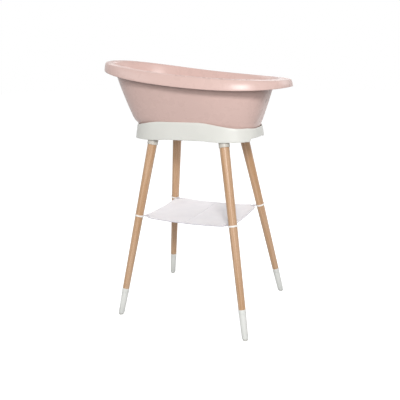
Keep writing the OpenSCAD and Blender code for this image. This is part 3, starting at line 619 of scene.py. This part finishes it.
def screw_spots(corner):
    along_x, along_y = CORNERS[corner]
    return [(STAND_SHIFT + along_x * (SOCKET_X + side * SCREW_OUT), along_y * SOCKET_Y)
            for side in (-1, 1)]


def screw_hole_tool(corner):
    profile = [(SEAT_HEIGHT - 20, SCREW_R + FIT), (SEAT_HEIGHT + 2, SCREW_R + FIT)]
    return join("screw_tool", *[turned("hole", profile, upright(*spot), 24)
                                for spot in screw_spots(corner)])


cradle = grow("cradle", rings_of(cradle_profile, spoke_angles(168)), "loop")
for corner in CORNERS:
    carve(cradle, screw_hole_tool(corner))
dress(cradle, stand_white, "cradle_ring")


# Legs and what holds them
def leg_axis(corner):
    """Foot of a leg's middle line on the floor, and the line's direction."""
    along_x, along_y = CORNERS[corner]
    foot = on_stand(along_x * (SOCKET_X + SPLAY_X), along_y * (SOCKET_Y + SPLAY_Y), 0)
    return foot, Vector((-along_x * SPLAY_X, -along_y * SPLAY_Y, SEAT_HEIGHT)).normalized()


def leg_frame(corner, unit=1.0):
    foot, way = leg_axis(corner)
    return facing(foot * unit, way)


LEG_COS = leg_axis("back_right")[1].z
JOINT_S = FOOT_JOINT_Z / LEG_COS
MOUTH_S = (SEAT_HEIGHT - SOCKET_DEPTH) / LEG_COS
BAND_S = SHELF_Z / LEG_COS
LEDGE_LOW = SEAT_HEIGHT - LEDGE_T


def cut_level(corner, radius, height, spokes=48):
    """Ring where a cylinder along the leg meets a level plane."""
    place, way = leg_frame(corner), leg_axis(corner)[1]
    ring = turned_rings([(0, radius)], place, spokes)[0]
    return [point + way * ((height - point.z) / way.z) for point in ring]


def sleeve_r(along):
    return mix(SLEEVE_LOW_D, SLEEVE_TOP_D, along / JOINT_S) / 2


tenon_top, foot_end, shoulder = MOUTH_S + TOP_TENON_L, JOINT_S - LOW_TENON_L, JOINT_S - COLLAR_DROP
tenon_bore, bolt_bore, foot_bore = TOP_TENON_R + FIT, BOLT_R + FIT, LOW_TENON_R + FIT
leg_top, leg_low, sleeve_top, outer = LEG_TOP_D / 2, LEG_LOW_D / 2, SLEEVE_TOP_D / 2, SOCKET_D / 2

for corner, (along_x, along_y) in CORNERS.items():
    place = leg_frame(corner)

    # Turned leg with a tenon at each end and a bore for its bolt
    leg = turned("beech_leg_" + corner, [
        (foot_end, LOW_TENON_R - 1), (foot_end + 1, LOW_TENON_R), (JOINT_S, LOW_TENON_R),
        (JOINT_S, leg_low - 0.6), (JOINT_S + 0.6, leg_low),
        (mix(JOINT_S, MOUTH_S, 0.33), mix(leg_low, leg_top, 0.33)),
        (mix(JOINT_S, MOUTH_S, 0.66), mix(leg_low, leg_top, 0.66)), (MOUTH_S - SOFT, leg_top),
        (MOUTH_S, leg_top - SOFT), (MOUTH_S, TOP_TENON_R), (tenon_top - 1, TOP_TENON_R),
        (tenon_top, TOP_TENON_R - 1), (tenon_top, bolt_bore),
        (tenon_top - BOLT_IN_LEG - 0.5, bolt_bore)], place, 64)
    dress(leg, lacquered_beech(corner), "leg_" + corner)

    # Socket: a sleeve cut level under the ledge, a bead round its mouth, and two ears
    socket = grow("socket_" + corner, [cut_level(corner, outer, LEDGE_LOW)] + turned_rings([
        (MOUTH_S + BEAD_H + 1.2, outer), (MOUTH_S + BEAD_H + 0.3, outer + 0.1),
        (MOUTH_S + BEAD_H - 0.5, outer + 0.5), (MOUTH_S + BEAD_H / 2, outer + 0.6),
        (MOUTH_S + SOFT, outer + 0.5), (MOUTH_S + 0.1, outer - 0.2), (MOUTH_S, outer - SOFT),
        (MOUTH_S, TOP_TENON_R + 0.6), (MOUTH_S + 0.6, tenon_bore), (tenon_top + 0.5, tenon_bore),
        (tenon_top + 0.5, bolt_bore), (tenon_top + BOLT_IN_SOCKET + 1, bolt_bore)], place))

    def ear_outline(inset, height):
        """Long outline with round ends about the two screws."""
        radius = EAR_W / 2 - inset
        turns = [2 * pi * (spoke + 0.5) / 48 for spoke in range(48)]
        return [on_stand(along_x * SOCKET_X + copysign(SCREW_OUT, cos(turn)) + radius * cos(turn),
                         along_y * SOCKET_Y + radius * sin(turn), height) for turn in turns]

    ears = grow("ears", [ear_outline(inset, LEDGE_LOW - EAR_T + up)
                         for inset, up in ((1, 0), (0.3, 0.3), (0, 1), (0, EAR_T))])
    carve(ears, turned("bore", [(MOUTH_S - 2, tenon_bore), (tenon_top + 0.5, tenon_bore)], place))
    carve(socket, ears, "UNION")
    carve(socket, screw_hole_tool(corner))
    dress(socket, socket_white_painted_shade, "leg_socket_" + corner, sharp=30)

    # Foot sleeve: its upper part widens to a shoulder line, and its lower end is rounded
    shoulder_r = sleeve_r(shoulder)
    sleeve = turned("sleeve_" + corner, [
        (foot_end - 0.5, foot_bore), (JOINT_S - 0.5, foot_bore), (JOINT_S, LOW_TENON_R + 0.5),
        (JOINT_S, sleeve_top - SOFT), (JOINT_S - 0.3, sleeve_top - 0.2), (JOINT_S - 1, sleeve_top),
        (JOINT_S - 10, sleeve_r(JOINT_S - 10) + 0.45), (shoulder + 1.4, shoulder_r + COLLAR_OUT),
        (shoulder + 0.5, shoulder_r + COLLAR_OUT - 0.15), (shoulder, shoulder_r + 0.3),
        (shoulder - 0.2, shoulder_r - 0.1), (shoulder - 1, shoulder_r - 0.2),
        (shoulder - 2, sleeve_r(shoulder - 2)), (60, sleeve_r(60)), (SLEEVE_LIFT + 2, sleeve_r(10)),
        (SLEEVE_LIFT + 1, sleeve_r(9) - 0.2), (SLEEVE_LIFT + 0.3, sleeve_r(8) - SOFT),
        (SLEEVE_LIFT, sleeve_r(8) - 1.4)], place, 56)
    dress(sleeve, foot_white, "foot_sleeve_" + corner, sharp=40)

    # Glide, cut level at the floor with a rounded edge
    glide = grow("glide_" + corner, [cut_level(corner, PAD_R - inset, height) for inset, height in (
        (3, 0), (1.2, 0.5), (0.3, 1.7), (0, 3.4))] + turned_rings([(SLEEVE_LIFT, PAD_R)], place))
    dress(glide, glide_rubber, "foot_pad_" + corner, sharp=40)

# Pan-head screws with a cross recess, one modelled and seven copied
spots = [spot for corner in CORNERS for spot in screw_spots(corner)]
first_x, first_y = spots[0]
head_top = LEDGE_LOW - EAR_T
screw_low = head_top - SCREW_HEAD_H
screw = turned("screw", [
    (screw_low, 1.6), (screw_low + 0.15, 2.6), (screw_low + 0.6, 3.4), (screw_low + 1.4, 3.85),
    (screw_low + 2.2, SCREW_HEAD_R), (head_top, SCREW_HEAD_R), (head_top, SCREW_R),
    (SEAT_HEIGHT - 0.9, SCREW_R), (SEAT_HEIGHT - 0.4, SCREW_R - 0.5)], upright(*spots[0]), 24)


def cross_outline(reach, width, height):
    points = []
    for quarter in range(4):
        turn = Matrix.Rotation(quarter * pi / 2, 2)
        points += [turn @ Vector(corner)
                   for corner in ((reach, -width), (reach, width), (width, width))]
    return [Vector((first_x + point.x, first_y + point.y, height)) for point in points]


carve(screw, grow("cross_tool", [cross_outline(2.0, 0.42, screw_low - 0.5),
                                 cross_outline(1.0, 0.3, screw_low + 1.5)]))
screws = [screw]
for x, y in spots[1:]:
    select_only(screw)
    bpy.ops.object.duplicate()
    screws.append(bpy.context.object)
    bpy.ops.object.mode_set(mode="EDIT")
    bpy.ops.mesh.select_all(action="SELECT")
    bpy.ops.transform.translate(value=((x - first_x) * MM, (y - first_y) * MM, 0))
    bpy.ops.object.mode_set(mode="OBJECT")
dress(join("screws_under_the_ledge", *screws), zinc, "socket_screws")

# The bolts are hidden in the legs and keep their plain shape
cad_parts["leg_bolts"].data.materials.clear()
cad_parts["leg_bolts"].data.materials.append(zinc)


# Drain, from the floor of the bath downwards
flange_top = FLOOR_Z + FLANGE_T
nut_top = BASE_Z - SEAL_T
nut_low = nut_top - NUT_H
tail_low = nut_low - 2
stub_low = tail_low - STUB_LENGTH
seat_r, seat_low = PLUG_R + 0.3, flange_top - PLUG_LENGTH - 1
seat = turned("drain_flange_and_tail", [
    (flange_top, 8), (flange_top, FLANGE_R - 4), (flange_top - 0.5, FLANGE_R - 1.6),
    (FLOOR_Z + 1.2, FLANGE_R - 0.2), (FLOOR_Z + 0.5, FLANGE_R), (FLOOR_Z + 0.02, FLANGE_R - 0.5),
    (FLOOR_Z + 0.02, hole_r - FIT), (tail_low + 0.9, hole_r - FIT), (tail_low, hole_r - 1),
    (tail_low, STUB_R), (stub_low + SOFT, STUB_R), (stub_low, STUB_R - 0.6), (stub_low, 8)],
    drain, 64)
carve(seat, turned("seat_bore", [
    (stub_low - 1, DRAIN_BORE_R), (seat_low, DRAIN_BORE_R), (seat_low, seat_r - PLUG_TAPER),
    (flange_top - 1, seat_r), (flange_top - 0.3, seat_r + 0.4), (flange_top + 0.1, seat_r + 1.3)],
    drain, 64))
dress(seat, stand_white, "drain_seat", "tub", sharp=30)

# Elbow, pressed on the seat's stub. Its spigot has a collar that stops the hose and three barbs
elbow_z, elbow_top = tail_low - ELBOW_DROP, tail_low - 0.5
elbow_low, spigot_end = elbow_z - ELBOW_BASE, COLLAR_REACH + SPIGOT_LENGTH
to_hose = Matrix.Translation((DRAIN_X, 0, elbow_z)) @ Matrix.Rotation(pi / 2, 4, "Y")
barbs, barb_r = [], SPIGOT_R - 0.9
for barb in range(3):
    start = COLLAR_REACH + 3.5 + barb * 5.5
    barbs += [(start, barb_r), (start + 0.2, SPIGOT_R), (start + 4.6, barb_r)]
elbow = turned("drain_elbow_with_barbs", [
    (elbow_top, 8), (elbow_top, ELBOW_R - SOFT), (elbow_top - SOFT, ELBOW_R),
    (elbow_low + 6, ELBOW_R)] + [(elbow_low + 6 * (1 - s), ELBOW_R - 6 * (1 - c))
                                 for c, s in arc(0, 90, 5)[1:]], drain, 64)
carve(elbow, turned("spigot", [
    (2, COLLAR_R), (COLLAR_REACH - 0.6, COLLAR_R), (COLLAR_REACH, COLLAR_R - 0.6),
    (COLLAR_REACH, barb_r)] + barbs + [(spigot_end - 1, barb_r), (spigot_end, SPIGOT_R - 1.7)],
    to_hose), "UNION")
carve(elbow, turned("elbow_bore", [
    (elbow_z - DRAIN_BORE_R, DRAIN_BORE_R), (stub_low - 0.5, DRAIN_BORE_R),
    (stub_low - 0.5, STUB_R + FIT), (elbow_top - 0.6, STUB_R + FIT),
    (elbow_top + 0.1, STUB_R + 0.7)], drain, 64))
carve(elbow, turned("spigot_bore", [
    (0, SPIGOT_BORE_R), (spigot_end - 0.6, SPIGOT_BORE_R), (spigot_end + 0.1, SPIGOT_BORE_R + 0.6)],
    to_hose))
dress(elbow, stand_white, "drain_elbow", "tub", sharp=30)

seal = turned("drain_washer", [
    (nut_top, hole_r), (nut_top, SEAL_R - SOFT), (nut_top + SOFT, SEAL_R), (BASE_Z - SOFT, SEAL_R),
    (BASE_Z, SEAL_R - SOFT), (BASE_Z, hole_r)], drain, 56, "loop")
dress(seal, glide_rubber, "drain_seal", "tub", sharp=50)


def nut_ring(height, inset):
    """Six flats with rounded corners, and a shallow groove down the middle of each flat."""
    points = []
    for spoke in range(96):
        turn = 2 * pi * spoke / 96
        from_flat = (turn + pi / 6) % (pi / 3) - pi / 6
        radius = min(NUT_FLATS / 2 / cos(from_flat), NUT_FLATS / 2 + NUT_CORNER) - inset
        radius -= NUT_GROOVE * (1 - smooth(abs(from_flat) / GROOVE_TURN))
        points.append(Vector((DRAIN_X + radius * cos(turn), radius * sin(turn), height)))
    return points


nut = grow("drain_nut_with_grips", [nut_ring(height, inset) for height, inset in (
    (nut_top, SOFT), (nut_top - SOFT, 0), (nut_low + SOFT, 0), (nut_low, SOFT))] + turned_rings(
    [(nut_low, hole_r + 0.6), (nut_low + 0.6, hole_r + 0.02), (nut_top, hole_r + 0.02)],
    drain, 96), "loop")
dress(nut, stand_white, "drain_nut", "tub", sharp=30)

# Plug: a tapered stopper with two grooves, a cap and a lug with an eye for the pull ring
plug_top = flange_top + 0.3
cap_top = plug_top + CAP_T
lug_z = cap_top + LUG_H / 2
stopper_low = plug_top - PLUG_LENGTH + 1
cap_r = PLUG_R + CAP_OVER


def stopper_r(height):
    return mix(PLUG_R - PLUG_TAPER, PLUG_R, (height - stopper_low) / (plug_top - stopper_low))


grooves = []
for groove_z in (stopper_low + 3.5, stopper_low + 7):
    grooves += [(groove_z + up, stopper_r(groove_z) - deep)
                for up, deep in ((-0.8, 0), (-0.3, 0.5), (0.3, 0.5), (0.8, 0))]
plug = turned("plug_stopper_and_cap", [
    (stopper_low, PLUG_R - PLUG_TAPER - 1), (stopper_low + 1, PLUG_R - PLUG_TAPER)] + grooves + [
    (plug_top, PLUG_R), (plug_top, cap_r - SOFT), (plug_top + 0.6, cap_r),
    (plug_top + 2.2, cap_r - 0.1), (cap_top - 0.7, cap_r - 1), (cap_top - 0.1, cap_r - 3),
    (cap_top, cap_r - 6), (cap_top, 7)], drain, 64)


def lug_outline(y, inset):
    """Arch-shaped outline of the lug at a place across it."""
    half, base = LUG_H / 2 - inset, cap_top - 0.5
    points = [(half * c, lug_z + half * s) for c, s in arc(0, 180, 20)]
    points += [(-half - 0.8, base), (half + 0.8, base)]
    return [Vector((DRAIN_X + x, y, z)) for x, z in points]


lug = grow("lug", [lug_outline(side * (LUG_W / 2 - deep), inset) for side, deep, inset in (
    (-1, 0, 0.8), (-1, 0.3, 0.25), (-1, 0.9, 0), (1, 0.9, 0), (1, 0.3, 0.25), (1, 0, 0.8))])
carve(plug, lug, "UNION")
across = Matrix.Translation((DRAIN_X, 0, lug_z)) @ Matrix.Rotation(pi / 2, 4, "X")
eye_r = WIRE_R + 0.08
carve(plug, turned("eye_tool", [(-LUG_W, eye_r), (LUG_W, eye_r)], across, 32))
dress(plug, plug_vinyl, "drain_plug", "plug", sharp=40)


# Pull ring: one piece of wire, straight where it turns in the plug's eye
def pull_ring_rings():
    """Round sections of the wire along its path, a straight and a half circle."""
    corner_r, reach = 2.5, LUG_H / 2 + 2 * WIRE_R
    straight, corner = PULL_RING_R - corner_r, arc(0, 90, 5)
    path = [Vector((0, mix(-straight, straight, step / 4))) for step in range(5)]
    path += [Vector((corner_r * (c - 1), straight + corner_r * s)) for c, s in corner[1:]]
    path += [Vector((-reach - PULL_RING_R * s, PULL_RING_R * c)) for c, s in arc(0, 180, 24)]
    path += [Vector((corner_r * (s - 1), -straight - corner_r * c)) for c, s in corner[:-1]]
    rings = []
    for number, point in enumerate(path):
        way = (path[(number + 1) % len(path)] - path[number - 1]).normalized() * WIRE_R
        rings.append([Vector((DRAIN_X + point.x + way.y * c, point.y - way.x * c,
                              lug_z + WIRE_R * s)) for c, s in arc(0, 360, 16)[:-1]])
    return rings


pull_ring = grow("pull_ring_wire", pull_ring_rings(), "loop")
dress(pull_ring, stand_white, "plug_pull_ring", "pull_ring", sharp=60)


# Shelf
def leg_r(along):
    return mix(LEG_LOW_D, LEG_TOP_D, (along - JOINT_S) / (MOUTH_S - JOINT_S)) / 2


leg_foot, leg_way = leg_axis("back_right")
leg_at_shelf = leg_foot + leg_way * BAND_S - Vector((STAND_SHIFT, 0, 0))
CLOTH_A, CLOTH_B = leg_at_shelf.x - CLOTH_IN_X, leg_at_shelf.y
BAND_BORE_R = leg_r(BAND_S + BAND_H / 2) + BAND_CLEARANCE
CLOTH_HALF_T = 0.5


def cloth_half_length(y):
    return CLOTH_A - max(0, abs(y) - (CLOTH_B - CORNER_CUT))


def cloth_z(x, y):
    """Height of the cloth: it sags between its corners, with slight pulls towards them."""
    share = 1 - (abs(x * y) / (CLOTH_A * CLOTH_B)) ** SAG_POWER
    sag = EDGE_SAG * share + MIDDLE_SAG * (1 - (x / CLOTH_A) ** 2) * (1 - (y / CLOTH_B) ** 2)
    corner_x, corner_y = CLOTH_A - CORNER_CUT / 2 - abs(x), CLOTH_B - CORNER_CUT / 2 - abs(y)
    reach = hypot(corner_x, corner_y)
    turn = atan2(corner_y, corner_x)
    near = smooth(reach / 25) * (1 - smooth(reach / PULL_REACH))
    pull = PULL_H * near * cos(PULL_COUNT * turn + 0.9 * (x > 0) + 1.7 * (y > 0))
    ripple = RIPPLE_H * sin(x / 23 + 1.3 * sin(y / 51)) * cos(y / 37 + x / 90)
    return SHELF_Z - sag + share * (pull + ripple)


def cloth_edge_points(inset, spacing):
    """Places round the cloth's edge, drawn in by inset, as x, y and the direction inwards."""
    diagonal = 0.586  # 2 less the square root of 2
    a, b, cut = CLOTH_A - inset, CLOTH_B - inset, CORNER_CUT - inset * diagonal
    corners = [(a, b - cut), (a - cut, b), (cut - a, b), (-a, b - cut),
               (-a, cut - b), (cut - a, -b), (a - cut, -b), (a, cut - b)]
    places = []
    for number, start in enumerate(corners):
        start, end = Vector(start), Vector(corners[(number + 1) % 8])
        way = (end - start).normalized()
        steps = max(2, round((end - start).length / spacing))
        for step in range(steps):
            places.append((mix(start, end, step / steps), Vector((-way.y, way.x)), way))
    return places


def strap_point(u, v, corner):
    """u runs across and v from the cloth's cut corner to the band; the strap is gathered there."""
    along_x, along_y = CORNERS[corner]
    cut_middle = Vector((CLOTH_A - CORNER_CUT / 2, CLOTH_B - CORNER_CUT / 2))
    axis = leg_at_shelf.xy
    way = (axis - cut_middle).normalized()
    start = cut_middle - way * 9
    end = axis - way * (BAND_BORE_R + BAND_T * 0.6)
    width = mix(STRAP_WIDE, STRAP_NARROW, smooth(v) * 0.55 + v * 0.45)
    across = mix(Vector((-0.7071, 0.7071)), Vector((-way.y, way.x)), v)
    flat = mix(start, end, v) + across * width * (u - 0.5)
    gather = 1.5 * smooth(v * 1.3) * cos(2 * pi * 3 * (u - 0.5))
    height = cloth_z(flat.x, flat.y) + mix(CLOTH_HALF_T + 0.6, 0, smooth(v * 1.5)) + gather
    return on_stand(along_x * flat.x, along_y * flat.y, height)


def fabric_grid(name, columns, rows, place, thickness):
    """A sheet: a grid whose points are placed by their shares across and along, then thickened."""
    bpy.ops.mesh.primitive_grid_add(x_subdivisions=columns, y_subdivisions=rows, size=2)
    sheet = bpy.context.object
    sheet.name = sheet.data.name = name
    for vert in sheet.data.vertices:
        vert.co = place((vert.co.x + 1) / 2, (vert.co.y + 1) / 2) * MM
    bpy.ops.object.mode_set(mode="EDIT")
    bpy.ops.mesh.select_all(action="SELECT")
    bpy.ops.mesh.normals_make_consistent(inside=False)
    bpy.ops.object.mode_set(mode="OBJECT")
    if thickness:
        apply_modifier(sheet, "SOLIDIFY", thickness=thickness * MM, offset=0)
    return sheet


def cloth_point(u, v):
    y = mix(-CLOTH_B + 1, CLOTH_B - 1, v)
    x = (cloth_half_length(y) - 1) * (2 * u - 1)
    return on_stand(x, y, cloth_z(x, y))


cloth = fabric_grid("shelf_sheet", 88, 72, cloth_point, 2 * CLOTH_HALF_T)
dress(cloth, shelf_cloth, "shelf_cloth", sharp=60)

# Hem: the edge is folded flat, and a piped cord hangs just under its rim
HEM_W, HEM_T, PIPING_R = 12, 2.2, 2.2
flat_section = [(1, 0), (0.85, 0.75), (0.3, 1), (-0.3, 1), (-0.85, 0.75), (-1, 0),
                (-0.85, -0.75), (-0.3, -1), (0.3, -1), (0.85, -0.75)]


def edge_rings(section, inset, half_width, half_height, drop):
    """Rings of a section round the cloth's edge, drawn in by inset and let down by drop."""
    rings, places = [], cloth_edge_points(inset, 7)
    for number, (place, inwards, way) in enumerate(places):
        if way != places[number - 1][2]:
            inwards = (inwards + places[number - 1][1]).normalized()
        ring = []
        for aside, up in section:
            spot = place + inwards * aside * half_width
            ring.append(on_stand(*spot, cloth_z(*spot) - drop + up * half_height))
        rings.append(ring)
    return rings


hem = grow("shelf_hem", edge_rings(flat_section, HEM_W / 2, HEM_W / 2, HEM_T / 2, 0), "loop")
dress(hem, shelf_cloth, sharp=60)
# The piping's grey is painted shade along the hem's edge
piping = grow("shelf_piping_painted_shade", edge_rings(arc(0, 360, 12)[:-1], PIPING_R + 0.3, PIPING_R, PIPING_R,
                                         HEM_T / 2 + PIPING_R * 0.7), "loop")
dress(piping, shelf_piping_painted_shade, sharp=60)

# Cross seam at mid length: two layers laid flat over each other
SEAM_W, SEAM_T = 7, 3
seam_section = [(aside * SEAM_W / 2, up * SEAM_T / 2) for aside, up in flat_section]
seam_rings = []
for step in range(61):
    y = mix(-CLOTH_B + HEM_W / 2, CLOTH_B - HEM_W / 2, step / 60)
    seam_rings.append([on_stand(x, y, cloth_z(x, y) + up) for x, up in seam_section])
seam = grow("shelf_cross_seam", seam_rings)
dress(seam, shelf_cloth, sharp=60)


# Stitches: one small pillow of thread, copied along the hem and the seam
def stitch(x, y, way, lift):
    """Rings of one stitch, 2.6 mm long, that lies on the cloth at x, y."""
    rings = []
    for along, size in ((-1.3, 0.3), (-0.8, 1), (0.8, 1), (1.3, 0.3)):
        middle = Vector((x, y)) + way * along
        base, aside = cloth_z(*middle) + lift, Vector((-way.y, way.x)) * 0.32 * size
        rings.append([on_stand(*(middle + aside * c), base + 0.28 * size * s)
                      for c, s in arc(0, 360, 6)[:-1]])
    return rings


def rows_of_stitches(name, spots):
    """All stitches of a row in one mesh, each a closed skin."""
    mesh = bmesh.new()
    for x, y, way, lift in spots:
        rings = [[mesh.verts.new(point * MM) for point in ring]
                 for ring in stitch(x, y, way, lift)]
        for low, high in zip(rings, rings[1:]):
            for side in range(6):
                mesh.faces.new((low[side - 1], low[side], high[side], high[side - 1]))
        mesh.faces.new(rings[0])
        mesh.faces.new(rings[-1])
    bmesh.ops.recalc_face_normals(mesh, faces=mesh.faces)
    data = bpy.data.meshes.new(name)
    mesh.to_mesh(data)
    mesh.free()
    row = bpy.data.objects.new(name, data)
    bpy.context.collection.objects.link(row)
    return dress(row, thread, sharp=70)


hem_stitches = rows_of_stitches("hem_stitches", [
    (*place, way, HEM_T / 2) for place, _, way in cloth_edge_points(HEM_W * 0.72, 4)])
seam_stitches = rows_of_stitches("seam_stitches", [
    (side * SEAM_W * 0.3, mix(-CLOTH_B + HEM_W, CLOTH_B - HEM_W, step / 80), Vector((0, 1)),
     SEAM_T / 2) for side in (-1, 1) for step in range(81)])

BAND_SECTION = [(-0.8, 0), (-1, 0.25), (-0.97, 0.7), (-0.75, 0.93), (-0.3, 0.98), (0, 0.9),
                (0.3, 0.98), (0.75, 0.93), (0.97, 0.7), (1, 0.25), (0.8, 0)]
for corner in CORNERS:
    band = turned("band_" + corner, [
        (BAND_S + BAND_H / 2 * up, BAND_BORE_R + FIT + BAND_T * out) for up, out in BAND_SECTION],
        leg_frame(corner), 64, "loop")
    dress(band, shelf_webbing, "shelf_band_" + corner, sharp=60)
    # The strap gets the greyer cloth, which paints in its shade
    strap = fabric_grid("gathered_strap_" + corner, 36, 20,
                        lambda u, v: strap_point(u, v, corner), 2)
    dress(strap, shelf_piping_painted_shade, "shelf_strap_" + corner, sharp=60)


# Floor, a plain pale sheet that keeps the object's shadow and looks white to the camera
def seen_directly(tree):
    """1 for the rays that see the studio itself, 0 for those that only carry its light."""
    rays = add(tree, "LightPath").node.outputs
    seen = rays["Is Camera Ray"]
    for kind in ("Is Glossy Ray", "Is Transmission Ray"):
        seen = add(tree, "Math", {0: seen, 1: rays[kind]}, operation="MAXIMUM")
    return seen


PAPER_GLOW, ROOM_LIGHT = 0.95, 0.16
bpy.ops.mesh.primitive_plane_add(size=30)
floor = bpy.context.object
floor.name = "studio_floor"
floor_material = bpy.data.materials.new("Studio paper, white")
tree = empty_tree(floor_material)
paper = add(tree, "BsdfDiffuse", {"Color": colour("#9c9c9c")})
pale = add(tree, "AddShader", {0: add(tree, "Emission", {"Strength": PAPER_GLOW}),
                               1: add(tree, "BsdfDiffuse", {"Color": colour("#b8b8b8")})})
add(tree, "OutputMaterial", {"Surface": add(tree, "MixShader", {
    0: seen_directly(tree), 1: paper, 2: pale})})
floor.data.materials.append(floor_material)

# Studio light: an even white room, a key lamp behind and above the camera with a weaker one
# below it, and soft lamps at the left and behind the object
world = bpy.data.worlds.new("Studio")
bpy.context.scene.world = world
tree = empty_tree(world)
strength = add(tree, "MapRange", {0: seen_directly(tree), 3: ROOM_LIGHT})
add(tree, "OutputWorld", {"Surface": add(tree, "Background", {
    "Color": (1, 1, 1, 1), "Strength": strength})})


def lamp(name, place, aim_z, width, height, power_watts, mirrored=True):
    """An area lamp, aimed at a height over the middle; not mirrored, it shows in no reflection."""
    light = bpy.data.lights.new(name, "AREA")
    light.shape = "RECTANGLE"
    light.size, light.size_y, light.energy = width, height, power_watts
    holder = bpy.data.objects.new(name, light)
    bpy.context.collection.objects.link(holder)
    holder.visible_glossy = mirrored
    holder.location = place
    way = Vector((0, 0, aim_z)) - Vector(place)
    holder.rotation_euler = way.to_track_quat("-Z", "Y").to_euler()


lamp("key_softbox", (1.91, -3.60, 2.85), 0.95, 1.3, 0.8, 128)
lamp("low_softbox", (2.07, -3.90, 1.81), 0.95, 1.6, 0.8, 56)
lamp("left_softbox", (-2.89, -2.02, 2.37), 0.95, 2.0, 1.2, 20)
lamp("back_left_softbox", (-2.33, 1.34, 3.64), 0.8, 2.4, 2.0, 28)
lamp("back_high_softbox", (-0.35, 3.2, 2.6), 0.7, 1.0, 1.0, 9)
lamp("back_fill_softbox", (0.8, 3.6, 1.9), 0.9, 1.6, 1.6, 38, mirrored=False)
lamp("back_right_softbox", (2.64, 2.21, 2.3), 0.9, 2.0, 1.6, 30)

# Camera, fitted to the four legs in the photograph
camera_data = bpy.data.cameras.new("camera")
camera_data.lens, camera_data.sensor_width = 46.16, 36
camera = bpy.data.objects.new("camera", camera_data)
bpy.context.collection.objects.link(camera)
camera.matrix_world = Matrix((
    (0.9048, -0.0863, 0.4171, 1.0033),
    (0.4248, 0.2539, -0.8690, -2.0770),
    (-0.0309, 0.9634, 0.2664, 1.1555),
    (0, 0, 0, 1)))
scene = bpy.context.scene
scene.camera = camera
scene.view_settings.view_transform = "Standard"
